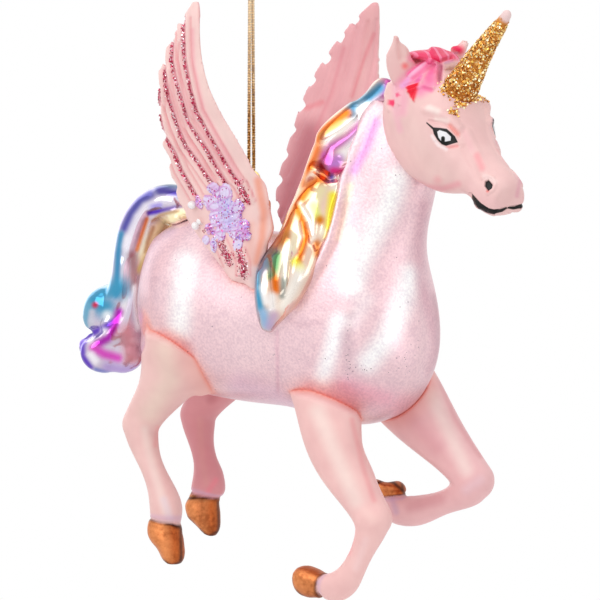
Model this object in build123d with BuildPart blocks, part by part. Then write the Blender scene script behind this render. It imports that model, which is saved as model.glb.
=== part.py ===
from build123d import *
import math
import os

os.makedirs("parts", exist_ok=True)

# Hanging unicorn ornament: blown glass body, cast resin head, wings and legs, on a cord loop.
# The origin is at the knot that the ornament hangs from. The unicorn faces +X and its left is +Y.

# Cord loop and knot
cord_drop = 46.6
cord_diameter = 0.9
cord_play = 0.08
knot_diameter = 3.0
knot_tail_length = 3.2
knot_tail_place_share = 0.6
knot_tail_spread_share = 0.35
strand_gap_at_knot = 0.2
strand_end_share = 0.4

# Spring wire hanger
wire_diameter = 0.8
eye_width = 5.6
eye_height = 5.6
wire_waist = 2.4
wire_leg_spread = 4.2
wire_leg_length = 15.0
wire_bend_radius = 0.9
waist_rise_share = 0.6
eye_corner_share = 0.95

# Cap over the glass neck
cap_diameter = 9.2
cap_height = 5.6
cap_wall = 0.4
cap_crown_radius = 1.2
cap_scallop_count = 12
cap_scallop_diameter = 1.3
cap_hole_clearance = 0.15
cap_fit_gap = 0.2
cap_skirt_gap = 1.2

# Glass body
body_length = 84.0
body_depth = 41.5
body_width = 38.4
neck_height = 36.0
neck_width = 20.0
glass_wall = 0.9
rump_wall = 3.6
spout_bore = 5.8
spout_wall = 1.0
spout_lip_radius = 0.3

# Cast and lacquered pieces are cut to the glass with this much room for glue.
glue_gap = 0.12

# Mane and tail
mane_length = 60.0
mane_breadth = 16.0
mane_thickness = 9.6
tail_length = 40.0
tail_breadth = 13.0
tail_thickness = 17.0

# Head
head_length = 43.0
head_width = 17.4
head_wall = 2.6
head_yaw = 14.0
ear_length = 12.8
ear_width = 6.8
ear_thickness = 3.4
horn_length = 24.5
horn_base_diameter = 9.0
horn_tip_diameter = 2.4
horn_lean = 42.0
horn_seat_depth = 2.0

# Wings
wing_height = 67.0
wing_chord = 27.0
wing_thickness = 6.0
wing_spread = 34.3
feather_notch = 3.4
flower_size = 11.0
flower_thickness = 0.7
pearl_diameter = 2.0

# Legs
fore_leg_length = 50.0
fore_leg_diameter = 18.0
hind_leg_length = 60.0
hind_leg_diameter = 20.0

ring_points = 12

# Barrel sections from the rump to the chest. Each has a top and a bottom point, as shares of
# body_length and body_depth from the back under the cap, and a half width, as a share of body_width.
barrel_shares = [
    (-0.366, -0.360, -0.368, -0.490, 0.062),
    (-0.350, -0.200, -0.356, -0.634, 0.221),
    (-0.308, -0.060, -0.318, -0.802, 0.352),
    (-0.219, 0.034, -0.231, -0.918, 0.453),
    (-0.112, 0.039, -0.100, -0.973, 0.495),
    (0.000, 0.000, 0.055, -1.000, 0.500),
    (0.102, -0.020, 0.210, -1.030, 0.492),
    (0.162, 0.012, 0.364, -1.094, 0.495),
    (0.195, 0.089, 0.525, -1.007, 0.484),
    (0.221, 0.186, 0.608, -0.742, 0.450),
]
# The glass thickens evenly over the rearmost rings, where the molten end was drawn off.
rump_ring_count = 5

# Neck sections up to the poll, from the withers. Places are shares of neck_height, widths of neck_width.
neck_base_share = 0.195
neck_shares = [
    (0.131, 0.325, 0.950, -0.522, 0.760),
    (0.214, 0.450, 0.903, -0.231, 0.620),
    (0.319, 0.580, 0.942, 0.033, 0.510),
    (0.442, 0.708, 1.010, 0.269, 0.440),
    (0.583, 0.828, 1.000, 0.506, 0.340),
    (0.714, 0.867, 0.922, 0.700, 0.210),
    (0.783, 0.861, 0.875, 0.783, 0.080),
]

# Mane rings: place from the poll as shares of mane_length, direction across the lock, half breadth and
# half thickness as shares of mane_breadth and mane_thickness.
mane_start_shares = (0.501, 0.026, 0.884)
mane_rings_shares = [
    ((0.020, -0.010, -0.050), (0.98, -0.10, -0.15), 0.13, 0.18),
    ((-0.060, -0.018, -0.112), (0.98, -0.10, -0.15), 0.22, 0.29),
    ((-0.115, -0.042, -0.180), (0.98, -0.10, -0.15), 0.32, 0.39),
    ((-0.160, -0.075, -0.256), (0.98, -0.10, -0.15), 0.43, 0.49),
    ((-0.190, -0.117, -0.340), (0.98, -0.10, -0.10), 0.40, 0.50),
    ((-0.208, -0.158, -0.435), (0.98, -0.10, -0.05), 0.36, 0.50),
    ((-0.225, -0.200, -0.540), (0.98, -0.15, 0.00), 0.39, 0.49),
    ((-0.245, -0.242, -0.648), (0.98, -0.15, 0.00), 0.43, 0.47),
    ((-0.283, -0.283, -0.752), (0.98, -0.15, 0.00), 0.50, 0.44),
    ((-0.317, -0.306, -0.845), (1.00, -0.10, 0.05), 0.44, 0.38),
    ((-0.345, -0.313, -0.930), (1.00, 0.00, 0.05), 0.26, 0.27),
    ((-0.365, -0.308, -1.000), (1.00, 0.00, 0.05), 0.09, 0.11),
]

# Tail rings: place from the tail root as shares of tail_length, half breadth in the plane of the curl
# and half thickness across it as shares of tail_breadth and tail_thickness.
tail_root_shares = (-0.195, -0.043)
tail_rings_shares = [
    (0.000, 0.000, 0.000, 0.27, 0.29),
    (-0.100, 0.000, 0.138, 0.32, 0.36),
    (-0.238, 0.000, 0.175, 0.35, 0.39),
    (-0.363, 0.000, 0.088, 0.40, 0.43),
    (-0.433, 0.000, -0.100, 0.43, 0.46),
    (-0.450, 0.000, -0.300, 0.46, 0.50),
    (-0.488, 0.000, -0.500, 0.52, 0.54),
    (-0.588, -0.025, -0.663, 0.48, 0.50),
    (-0.688, -0.075, -0.688, 0.32, 0.39),
    (-0.783, -0.100, -0.638, 0.15, 0.21),
]
tail_curl_shares = [
    (-0.480, 0.040, -0.300, 0.34, 0.34),
    (-0.625, 0.075, -0.410, 0.37, 0.37),
    (-0.775, 0.088, -0.450, 0.33, 0.33),
    (-0.875, 0.075, -0.550, 0.19, 0.19),
]

# Head rings in the head's own upright plane: a point on the face line, one on the jaw line and a half
# width. Places are shares of head_length from between the ears, widths of head_width.
head_place_shares = (0.635, -0.070, 0.969)
head_shares = [
    (-0.205, -0.093, -0.160, -0.558, 0.36),
    (-0.100, -0.010, -0.080, -0.640, 0.45),
    (0.023, 0.012, 0.047, -0.690, 0.49),
    (0.186, -0.035, 0.174, -0.720, 0.51),
    (0.326, -0.174, 0.302, -0.722, 0.49),
    (0.430, -0.326, 0.395, -0.728, 0.42),
    (0.512, -0.453, 0.477, -0.767, 0.34),
    (0.605, -0.544, 0.535, -0.826, 0.32),
    (0.686, -0.605, 0.605, -0.863, 0.32),
    (0.726, -0.674, 0.686, -0.826, 0.24),
]
head_hollow_span = slice(3, 8)
ear_base_shares = (-0.023, 0.115, -0.130)
ear_tip_shares = (0.035, 0.255, 0.125)
ear_rings_shares = [(0.0, 0.42, 0.50), (0.35, 0.50, 0.44), (0.70, 0.36, 0.30), (1.0, 0.08, 0.10)]
# Across the ear: its share along the nose and its share to the side
ear_across_shares = (0.6, 0.8)
# Forelock over the poll: place on the head's middle plane, half width and half height of head_width
forelock_shares = [
    (-0.150, -0.095, 0.14, 0.09),
    (-0.080, 0.005, 0.27, 0.15),
    (0.000, 0.055, 0.32, 0.17),
    (0.085, 0.055, 0.31, 0.16),
    (0.160, 0.005, 0.25, 0.14),
    (0.215, -0.070, 0.13, 0.09),
]
horn_seat_shares = (0.262, -0.205)
# The horn's blunt tip: its shoulder's radius and drop as shares of horn_tip_diameter
horn_tip_shoulder_share = 0.35
horn_tip_drop_share = 0.14

# Wing rings, bottom to top: height as a share of wing_height, front and rear edge along X as shares of
# wing_chord, front and rear edge out from the middle as shares of wing_spread, thickness share.
wing_rings_shares = [
    (0.000, 0.578, 0.356, 0.510, 0.495, 0.42),
    (0.090, 0.670, 0.133, 0.518, 0.480, 0.90),
    (0.180, 0.719, -0.089, 0.542, 0.484, 1.00),
    (0.270, 0.726, -0.237, 0.583, 0.513, 0.85),
    (0.404, 0.726, -0.285, 0.679, 0.606, 0.66),
    (0.539, 0.622, -0.267, 0.799, 0.717, 0.56),
    (0.703, 0.485, -0.193, 0.933, 0.834, 0.50),
    (0.868, 0.444, 0.052, 0.991, 0.918, 0.43),
    (0.957, 0.444, 0.252, 1.000, 0.962, 0.36),
    (1.000, 0.430, 0.374, 1.000, 0.991, 0.25),
]
wing_bottom_share = -0.333
notch_height_shares = [0.27, 0.36, 0.45, 0.54, 0.63, 0.72, 0.80, 0.88, 0.94]
flower_height_share = 0.255
flower_chord_share = 0.47
petal_count = 6
# The flower's petals and eye, as shares of flower_size, and how far it stands in the wing
petal_place_share = 0.28
petal_length_share = 0.24
petal_width_share = 0.15
flower_eye_share = 0.20
flower_root_share = 0.45
# A step along the wing from which its slope is read
slope_step_share = 0.02
# How far a pearl's middle stands off the wing, as shares of wing_thickness and pearl_diameter
pearl_root_share = 0.34
pearl_lift_share = 0.30
pearl_places_shares = [(0.306, 0.24), (0.246, 0.27), (0.228, 0.17)]

# The ball of a knee or hock covers the ends of both of its lofts.
knee_cover_share = 1.01

# Legs: root in shares of the body's length, width and depth, then rings down the leg as shares of its
# length, with radii as shares of its diameter. The second list starts at the knee or hock, and its last
# two rings are the top and the sole of the hoof.
right_fore_root_shares = (0.376, -0.300, -0.863)
right_fore_upper_shares = [
    (0.000, 0.000, 0.000, 0.500),
    (0.070, -0.030, -0.220, 0.422),
    (0.160, -0.050, -0.400, 0.328),
    (0.250, -0.050, -0.520, 0.262),
    (0.306, -0.050, -0.600, 0.250),
]
right_fore_lower_shares = [
    (0.306, -0.050, -0.590, 0.235),
    (0.270, -0.050, -0.710, 0.172),
    (0.200, -0.050, -0.830, 0.156),
    (0.115, -0.050, -0.935, 0.215),
    (0.010, -0.050, -0.956, 0.195),
    (-0.148, -0.050, -0.916, 0.264),
]
left_fore_root_shares = (0.412, 0.286, -0.863)
left_fore_upper_shares = [
    (0.000, 0.000, 0.000, 0.500),
    (0.130, 0.020, -0.150, 0.433),
    (0.260, 0.020, -0.270, 0.339),
    (0.370, 0.020, -0.370, 0.278),
    (0.440, 0.020, -0.446, 0.267),
]
left_fore_lower_shares = [
    (0.436, 0.020, -0.450, 0.240),
    (0.350, 0.020, -0.524, 0.189),
    (0.220, 0.020, -0.572, 0.167),
    (0.090, 0.020, -0.605, 0.200),
    (0.000, 0.020, -0.598, 0.205),
    (-0.052, 0.020, -0.545, 0.205),
    (-0.070, 0.020, -0.425, 0.245),
]
right_hind_root_shares = (-0.124, -0.273, -0.477)
right_hind_upper_shares = [
    (0.000, 0.000, 0.000, 0.520),
    (-0.033, -0.033, -0.167, 0.470),
    (-0.083, -0.042, -0.283, 0.330),
    (-0.158, -0.042, -0.375, 0.245),
    (-0.213, -0.042, -0.450, 0.220),
]
right_hind_lower_shares = [
    (-0.213, -0.042, -0.445, 0.205),
    (-0.188, -0.042, -0.550, 0.165),
    (-0.133, -0.042, -0.658, 0.145),
    (-0.092, -0.042, -0.745, 0.185),
    (-0.084, -0.042, -0.828, 0.178),
    (-0.093, -0.042, -0.975, 0.230),
]
left_hind_root_shares = (-0.148, 0.260, -0.501)
left_hind_upper_shares = [
    (0.000, 0.000, 0.000, 0.500),
    (-0.050, 0.033, -0.183, 0.440),
    (-0.117, 0.033, -0.283, 0.310),
    (-0.183, 0.033, -0.358, 0.240),
    (-0.225, 0.033, -0.417, 0.215),
]
left_hind_lower_shares = [
    (-0.225, 0.033, -0.412, 0.200),
    (-0.210, 0.033, -0.517, 0.160),
    (-0.187, 0.033, -0.600, 0.145),
    (-0.174, 0.033, -0.668, 0.180),
    (-0.188, 0.033, -0.735, 0.175),
    (-0.210, 0.033, -0.850, 0.225),
]

# Heights down the hanging stack
wire_top = -cord_drop
eye_middle = wire_top - eye_height / 2
cap_top = wire_top - eye_height - wire_diameter
back_height = cap_top - cap_height - cap_skirt_gap


def ring_face(centre, across, along, half_across, half_deep):
    """An oval section on its own plane, started at the same place each time so that lofts don't twist."""
    with BuildSketch(Plane(origin=centre, x_dir=across, z_dir=along)) as section:
        with BuildLine():
            points = []
            for step in range(ring_points):
                turn = 2 * math.pi * step / ring_points
                points.append((half_across * math.cos(turn), half_deep * math.sin(turn)))
            Spline(*points, periodic=True)
        make_face()
    return section.sketch.face()


def tilted_ring_face(centre, across, along, half_across, half_deep):
    """An oval whose long way turns with across while its start stays towards +X."""
    frame = Plane(origin=centre, x_dir=(1, 0, 0), z_dir=along)
    tilt = math.atan2(Vector(across).dot(frame.y_dir), Vector(across).dot(frame.x_dir))
    with BuildSketch(frame) as section:
        with BuildLine():
            points = []
            for step in range(ring_points):
                turn = 2 * math.pi * step / ring_points
                spread = math.hypot(half_deep * math.cos(turn - tilt), half_across * math.sin(turn - tilt))
                reach = half_across * half_deep / spread
                points.append((reach * math.cos(turn), reach * math.sin(turn)))
            Spline(*points, periodic=True)
        make_face()
    return section.sketch.face()


def path_directions(centres):
    """Direction of travel at each point of a path, from its neighbours."""
    directions = []
    for index in range(len(centres)):
        before = centres[max(index - 1, 0)]
        after = centres[min(index + 1, len(centres) - 1)]
        directions.append((after - before).normalized())
    return directions


def body_rings(outset, rump_outset):
    """The glass body's sections, set outwards (or inwards, if negative), from the rump to the poll."""
    pairs = []
    for top_x, top_z, low_x, low_z, half_width in barrel_shares:
        top = Vector(top_x * body_length, 0, back_height + top_z * body_depth)
        low = Vector(low_x * body_length, 0, back_height + low_z * body_depth)
        pairs.append((top, low, half_width * body_width))
    for top_x, top_z, low_x, low_z, half_width in neck_shares:
        start = Vector(neck_base_share * body_length, 0, back_height)
        top = start + Vector(top_x, 0, top_z) * neck_height
        low = start + Vector(low_x, 0, low_z) * neck_height
        pairs.append((top, low, half_width * neck_width))
    rings = []
    for index, (top, low, half_width) in enumerate(pairs):
        middle = (top + low) * 0.5
        upward = (top - low).normalized()
        along = Vector(0, 1, 0).cross(upward)
        rump_share = max(1 - index / rump_ring_count, 0)
        grow = outset + (rump_outset - outset) * rump_share
        if index == 0:
            middle = middle - along * grow
        if index == len(pairs) - 1:
            middle = middle + along * grow
        half_height = max((top - low).length / 2 + grow, glass_wall / 2)
        rings.append(ring_face(middle, upward, along, half_height, max(half_width + grow, glass_wall / 2)))
    return rings


def on_body(x_share, y_share, z_share):
    """A point placed by shares of the body's length, width and depth."""
    return Vector(x_share * body_length, y_share * body_width, back_height + z_share * body_depth)


# The form that glued pieces are cut to
with BuildPart() as glue_form:
    loft(body_rings(glue_gap, glue_gap))

# Glass body: hollow, with a short open spout on the back
spout_top = cap_top - cap_wall - cap_fit_gap
spout_depth = spout_top - back_height + body_depth / 4
with BuildPart() as glass_body:
    loft(body_rings(0, 0))
    with BuildSketch(Plane.XY.offset(spout_top)):
        Circle(spout_bore / 2 + spout_wall)
    extrude(amount=-spout_depth)
    inner = body_rings(-glass_wall, -rump_wall)
    loft(inner[1:-1], mode=Mode.SUBTRACT)
    with BuildSketch(Plane.XY.offset(spout_top)):
        Circle(spout_bore / 2)
    extrude(amount=-spout_depth, mode=Mode.SUBTRACT)
    fillet(glass_body.edges().group_by(Axis.Z)[-1], spout_lip_radius)
glass_body.part.label = "glass_body"

# Knot with its two short tails. It is round, so that the strands swing about it without touching.
with BuildPart() as cord_knot:
    Sphere(knot_diameter / 2)
    for side in (-1, 1):
        tail_foot = Vector(0, side * cord_diameter * knot_tail_place_share, 0)
        tail_aim = Vector(0, side * knot_tail_spread_share, 1).normalized()
        with BuildSketch(Plane(origin=tail_foot, x_dir=(1, 0, 0), z_dir=tail_aim)):
            Circle(cord_diameter / 2)
        extrude(amount=knot_diameter / 2 + knot_tail_length)
cord_knot.part.label = "cord_knot"

# Cord loop: down from the knot, once round the wire of the eye and back up
turn_radius = wire_diameter / 2 + cord_play + cord_diameter / 2
strand_offset = (cord_diameter + strand_gap_at_knot) / 2
cord_low = wire_top - turn_radius
cord_start = -knot_diameter * strand_end_share
corner_spread = turn_radius + strand_gap_at_knot / 20
with BuildPart() as hanging_cord:
    with BuildLine(Plane.YZ) as cord_path:
        FilletPolyline(
            (-strand_offset, cord_start),
            (-corner_spread, cord_low),
            (corner_spread, cord_low),
            (strand_offset, cord_start),
            radius=[turn_radius, turn_radius],
        )
    with BuildSketch(Plane(origin=cord_path.line @ 0, z_dir=cord_path.line % 0)):
        Circle(cord_diameter / 2)
    sweep(path=cord_path.line)
    Sphere(knot_diameter / 2 + cord_play, mode=Mode.SUBTRACT)
hanging_cord.part.label = "hanging_cord"
cord_length = sum(edge.length for edge in cord_path.line.edges())
print("cord length", cord_length, "turn radius", turn_radius)
print("cord volume", hanging_cord.part.volume, "section times length", math.pi * cord_diameter**2 / 4 * cord_length)

# Spring wire: eye above the cap, waist through it, two legs down the spout
eye_half = (eye_width - wire_diameter) / 2
waist_half = wire_waist / 2
leg_half = wire_leg_spread / 2
leg_end = cap_top - wire_leg_length
waist_top = cap_top + wire_diameter * waist_rise_share
corner_radius = eye_half * eye_corner_share
with BuildPart() as hanger_wire:
    with BuildLine(Plane.XZ) as wire_path:
        FilletPolyline(
            (-leg_half, leg_end),
            (-leg_half, cap_top - cap_height / 2),
            (-waist_half, cap_top - cap_wall),
            (-waist_half, waist_top),
            (-eye_half, eye_middle),
            (-eye_half, wire_top),
            (eye_half, wire_top),
            (eye_half, eye_middle),
            (waist_half, waist_top),
            (waist_half, cap_top - cap_wall),
            (leg_half, cap_top - cap_height / 2),
            (leg_half, leg_end),
            radius=[
                wire_bend_radius,
                wire_bend_radius,
                wire_bend_radius,
                wire_bend_radius,
                corner_radius,
                corner_radius,
                wire_bend_radius,
                wire_bend_radius,
                wire_bend_radius,
                wire_bend_radius,
            ],
        )
    with BuildSketch(Plane(origin=wire_path.line @ 0, z_dir=wire_path.line % 0)):
        Circle(wire_diameter / 2)
    sweep(path=wire_path.line)
hanger_wire.part.label = "hanger_wire"

# Cap: drawn shell with a rounded crown, a scalloped rim and two holes for the wire
with BuildPart() as hanger_cap:
    with BuildSketch(Plane.XY.offset(cap_top - cap_height)):
        Circle(cap_diameter / 2)
    extrude(amount=cap_height)
    fillet(hanger_cap.edges().group_by(Axis.Z)[-1], cap_crown_radius)
    with BuildSketch(Plane.XY.offset(cap_top - cap_height)):
        Circle(cap_diameter / 2 - cap_wall)
    extrude(amount=cap_height - cap_wall, mode=Mode.SUBTRACT)
    with BuildSketch(Plane.XY.offset(cap_top)):
        with Locations((-waist_half, 0), (waist_half, 0)):
            Circle(wire_diameter / 2 + cap_hole_clearance)
    extrude(amount=-2 * cap_wall, mode=Mode.SUBTRACT)
    with BuildSketch(Plane.YZ.offset(-cap_diameter)) as scallop:
        with Locations((0, cap_top - cap_height)):
            Circle(cap_scallop_diameter / 2)
    with PolarLocations(0, cap_scallop_count // 2):
        extrude(scallop.sketch, amount=2 * cap_diameter, mode=Mode.SUBTRACT)
hanger_cap.part.label = "hanger_cap"

# Mane: one flowing mass from the poll down the near side of the neck
mane_start = Vector(
    mane_start_shares[0] * body_length,
    -mane_start_shares[1] * body_width,
    back_height + mane_start_shares[2] * body_depth,
)
mane_centres = [mane_start + Vector(*place) * mane_length for place, _, _, _ in mane_rings_shares]
mane_rings = []
for centre, along, (_, across, breadth, thickness) in zip(
    mane_centres, path_directions(mane_centres), mane_rings_shares
):
    mane_rings.append(
        tilted_ring_face(centre, across, along, breadth * mane_breadth, thickness * mane_thickness)
    )
with BuildPart() as mane:
    loft(mane_rings)
    add(glue_form.part, mode=Mode.SUBTRACT)
mane.part.label = "mane"


def tail_lock(shares):
    """Rings of one lock of the tail, in the upright plane of its curl."""
    root = on_body(tail_root_shares[0], 0, tail_root_shares[1])
    centres = [root + Vector(x, y, z) * tail_length for x, y, z, _, _ in shares]
    rings = []
    for centre, along, (_, _, _, breadth, thickness) in zip(centres, path_directions(centres), shares):
        rings.append(
            ring_face(centre, (0, 1, 0), along, thickness * tail_thickness, breadth * tail_breadth)
        )
    return rings


with BuildPart() as tail:
    loft(tail_lock(tail_rings_shares))
    loft(tail_lock(tail_curl_shares))
    add(glue_form.part, mode=Mode.SUBTRACT)
tail.part.label = "tail"

# Head frame: forward along the nose, left and up, turned a little to the unicorn's right
head_middle = on_body(*head_place_shares)
turn = math.radians(head_yaw)
nose_way = Vector(math.cos(turn), -math.sin(turn), 0)
left_way = Vector(math.sin(turn), math.cos(turn), 0)
up_way = Vector(0, 0, 1)


def on_head(forward, left, up):
    """A point placed by shares of head_length in the head's own frame."""
    return head_middle + (nose_way * forward + left_way * left + up_way * up) * head_length


def skull_rings(shares, wall):
    """Sections of the head from the poll to the muzzle, set inwards by a wall."""
    rings = []
    for top_x, top_z, low_x, low_z, half_width in shares:
        top = on_head(top_x, 0, top_z)
        low = on_head(low_x, 0, low_z)
        upward = (top - low).normalized()
        along = left_way.cross(upward)
        half_height = (top - low).length / 2 - wall
        rings.append(ring_face((top + low) * 0.5, upward, along, half_height, half_width * head_width - wall))
    return rings


# Horn: a tapered cone with a blunt round tip, seated in the forehead
horn_seat = on_head(horn_seat_shares[0], 0, horn_seat_shares[1])
lean = math.radians(horn_lean)
horn_way = nose_way * math.sin(lean) + up_way * math.cos(lean)
horn_foot = horn_seat - horn_way * horn_seat_depth
horn_rise = horn_length + horn_seat_depth
with BuildPart() as horn:
    with BuildSketch(Plane(origin=horn_foot, x_dir=left_way, z_dir=left_way.cross(horn_way))):
        with BuildLine():
            Line((0, 0), (horn_base_diameter / 2, 0))
            Line((horn_base_diameter / 2, 0), (horn_tip_diameter / 2, horn_rise - horn_tip_diameter / 2))
            Spline(
                (horn_tip_diameter / 2, horn_rise - horn_tip_diameter / 2),
                (horn_tip_diameter * horn_tip_shoulder_share, horn_rise - horn_tip_diameter * horn_tip_drop_share),
                (0, horn_rise),
                tangents=((0, 1), (-1, 0)),
            )
            Line((0, horn_rise), (0, 0))
        make_face()
    revolve(axis=Axis(horn_foot, horn_way))
horn.part.label = "horn"

with BuildPart() as head:
    loft(skull_rings(head_shares, 0))
    loft(skull_rings(head_shares[head_hollow_span], head_wall), mode=Mode.SUBTRACT)
    for side in (-1, 1):
        ear_base = on_head(ear_base_shares[0], side * ear_base_shares[1], ear_base_shares[2])
        ear_tip = on_head(ear_tip_shares[0], side * ear_tip_shares[1], ear_tip_shares[2])
        ear_way = (ear_tip - ear_base).normalized()
        ear_rings = []
        for height, width, thickness in ear_rings_shares:
            ear_rings.append(
                ring_face(
                    ear_base + ear_way * height * ear_length,
                    nose_way * ear_across_shares[0] - left_way * side * ear_across_shares[1],
                    ear_way,
                    width * ear_width,
                    thickness * ear_thickness,
                )
            )
        loft(ear_rings)
    forelock_centres = [on_head(forward, 0, up) for forward, up, _, _ in forelock_shares]
    forelock_rings = []
    for centre, along, (_, _, width, height) in zip(
        forelock_centres, path_directions(forelock_centres), forelock_shares
    ):
        forelock_rings.append(ring_face(centre, left_way, along, width * head_width, height * head_width))
    loft(forelock_rings)
    add(glue_form.part, mode=Mode.SUBTRACT)
    add(horn.part, mode=Mode.SUBTRACT)
    add(mane.part, mode=Mode.SUBTRACT)
head.part.label = "head"


def wing_edges(shares, side):
    """Front and rear edge points of one wing ring."""
    height, front_x, rear_x, front_y, rear_y, _ = shares
    level = back_height + wing_bottom_share * body_depth + height * wing_height
    front = Vector(front_x * wing_chord, side * front_y * wing_spread, level)
    rear = Vector(rear_x * wing_chord, side * rear_y * wing_spread, level)
    return front, rear


def wing_point(height, chord, side):
    """A point on the wing's middle surface, by shares of its height and its chord from the rear."""
    for lower, upper in zip(wing_rings_shares, wing_rings_shares[1:]):
        if lower[0] <= height <= upper[0]:
            blend = (height - lower[0]) / (upper[0] - lower[0])
            low_front, low_rear = wing_edges(lower, side)
            top_front, top_rear = wing_edges(upper, side)
            low_point = low_rear + (low_front - low_rear) * chord
            top_point = top_rear + (top_front - top_rear) * chord
            return low_point + (top_point - low_point) * blend
    raise ValueError("height is off the wing")


def wing_plane(height, chord, side):
    """A plane on the wing, facing outwards."""
    step = slope_step_share
    here = wing_point(height, chord, side)
    forward = (wing_point(height, chord + step, side) - here).normalized()
    upward = (wing_point(height + step, chord, side) - here).normalized()
    outward = forward.cross(upward) if side < 0 else upward.cross(forward)
    if outward.Y * side < 0:
        outward = outward * -1
    return Plane(origin=here, x_dir=forward, z_dir=outward)


def wing_blade(side):
    """Blade with a scalloped rear edge, cut to the body."""
    with BuildPart() as blade:
        rings = []
        for shares in wing_rings_shares:
            front, rear = wing_edges(shares, side)
            rings.append(
                ring_face(
                    (front + rear) * 0.5,
                    front - rear,
                    (0, 0, 1),
                    (front - rear).length / 2,
                    shares[5] * wing_thickness / 2,
                )
            )
        loft(rings)
        for height in notch_height_shares:
            with BuildSketch(wing_plane(height, 0, side)):
                RegularPolygon(feather_notch / 2, 4)
            extrude(amount=wing_thickness, both=True, mode=Mode.SUBTRACT)
        add(glue_form.part, mode=Mode.SUBTRACT)
        add(mane.part, mode=Mode.SUBTRACT)
    return blade.part


def wing_flower(side, blade):
    """Raised six-petal patch that lies on the wing's outer face."""
    with BuildPart() as flower:
        with BuildSketch(wing_plane(flower_height_share, flower_chord_share, side)):
            with PolarLocations(flower_size * petal_place_share, petal_count):
                Ellipse(flower_size * petal_length_share, flower_size * petal_width_share)
            Circle(flower_size * flower_eye_share)
        extrude(amount=wing_thickness * flower_root_share + flower_thickness)
        add(blade, mode=Mode.SUBTRACT)
        add(glue_form.part, mode=Mode.SUBTRACT)
    return flower.part


def wing_pearls(side, blade, flower):
    """Three small pearls glued beside the flower."""
    with BuildPart() as pearls:
        for height, chord in pearl_places_shares:
            place = wing_plane(height, chord, side)
            lift = wing_thickness * pearl_root_share + pearl_diameter * pearl_lift_share
            with Locations(place.origin + place.z_dir * lift):
                Sphere(pearl_diameter / 2)
        add(blade, mode=Mode.SUBTRACT)
        add(flower, mode=Mode.SUBTRACT)
    return pearls.part


def leg(root_shares, upper_shares, lower_shares, length, diameter):
    """Thigh or forearm, cannon, fetlock and hoof as one casting, cut to the body."""
    root = on_body(*root_shares)
    hoof_shares = lower_shares[-2:]
    hoof_way = Vector(*hoof_shares[1][:3]) - Vector(*hoof_shares[0][:3])
    with BuildPart() as casting:
        for shares in (upper_shares, lower_shares[:-1]):
            centres = [root + Vector(x, y, z) * length for x, y, z, _ in shares]
            rings = []
            for centre, along, (_, _, _, radius) in zip(centres, path_directions(centres), shares):
                rings.append(ring_face(centre, (0, 1, 0), along, radius * diameter, radius * diameter))
            loft(rings)
        hoof_rings = []
        for x, y, z, radius in hoof_shares:
            hoof_radius = radius * diameter
            hoof_rings.append(
                ring_face(root + Vector(x, y, z) * length, (0, 1, 0), hoof_way, hoof_radius, hoof_radius)
            )
        loft(hoof_rings, ruled=True)
        x, y, z, radius = upper_shares[-1]
        with Locations(root + Vector(x, y, z) * length):
            Sphere(radius * diameter * knee_cover_share)
        add(glue_form.part, mode=Mode.SUBTRACT)
    return casting.part


right_wing = wing_blade(-1)
left_wing = wing_blade(1)
right_wing_flower = wing_flower(-1, right_wing)
left_wing_flower = wing_flower(1, left_wing)
right_pearls = wing_pearls(-1, right_wing, right_wing_flower)
left_pearls = wing_pearls(1, left_wing, left_wing_flower)
right_fore_leg = leg(
    right_fore_root_shares, right_fore_upper_shares, right_fore_lower_shares, fore_leg_length, fore_leg_diameter
)
left_fore_leg = leg(
    left_fore_root_shares, left_fore_upper_shares, left_fore_lower_shares, fore_leg_length, fore_leg_diameter
)
right_hind_leg = leg(
    right_hind_root_shares, right_hind_upper_shares, right_hind_lower_shares, hind_leg_length, hind_leg_diameter
)
left_hind_leg = leg(
    left_hind_root_shares, left_hind_upper_shares, left_hind_lower_shares, hind_leg_length, hind_leg_diameter
)

pieces = {
    "cord_knot": cord_knot.part,
    "hanging_cord": hanging_cord.part,
    "hanger_wire": hanger_wire.part,
    "hanger_cap": hanger_cap.part,
    "glass_body": glass_body.part,
    "mane": mane.part,
    "tail": tail.part,
    "head": head.part,
    "horn": horn.part,
    "right_wing": right_wing,
    "left_wing": left_wing,
    "right_wing_flower": right_wing_flower,
    "left_wing_flower": left_wing_flower,
    "right_pearls": right_pearls,
    "left_pearls": left_pearls,
    "right_fore_leg": right_fore_leg,
    "left_fore_leg": left_fore_leg,
    "right_hind_leg": right_hind_leg,
    "left_hind_leg": left_hind_leg,
}
for name, piece in pieces.items():
    piece.label = name
    export_step(piece, f"parts/{name}.step")
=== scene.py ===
import bmesh
import bpy
import math
import numpy as np
import random
from mathutils import Matrix, Vector
from mathutils.bvhtree import BVHTree


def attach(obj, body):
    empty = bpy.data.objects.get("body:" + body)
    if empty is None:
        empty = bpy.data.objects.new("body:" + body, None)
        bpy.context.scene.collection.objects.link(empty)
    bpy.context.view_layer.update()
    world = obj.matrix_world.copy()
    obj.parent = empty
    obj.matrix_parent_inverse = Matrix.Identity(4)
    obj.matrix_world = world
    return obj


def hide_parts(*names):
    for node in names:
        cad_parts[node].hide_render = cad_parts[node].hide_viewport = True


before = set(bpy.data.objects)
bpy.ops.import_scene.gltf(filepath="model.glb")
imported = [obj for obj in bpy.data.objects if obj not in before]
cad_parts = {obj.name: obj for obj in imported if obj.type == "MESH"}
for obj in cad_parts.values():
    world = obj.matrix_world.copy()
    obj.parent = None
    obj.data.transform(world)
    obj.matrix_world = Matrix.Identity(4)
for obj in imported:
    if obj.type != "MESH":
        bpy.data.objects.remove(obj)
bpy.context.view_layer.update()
mm = 0.001

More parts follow.
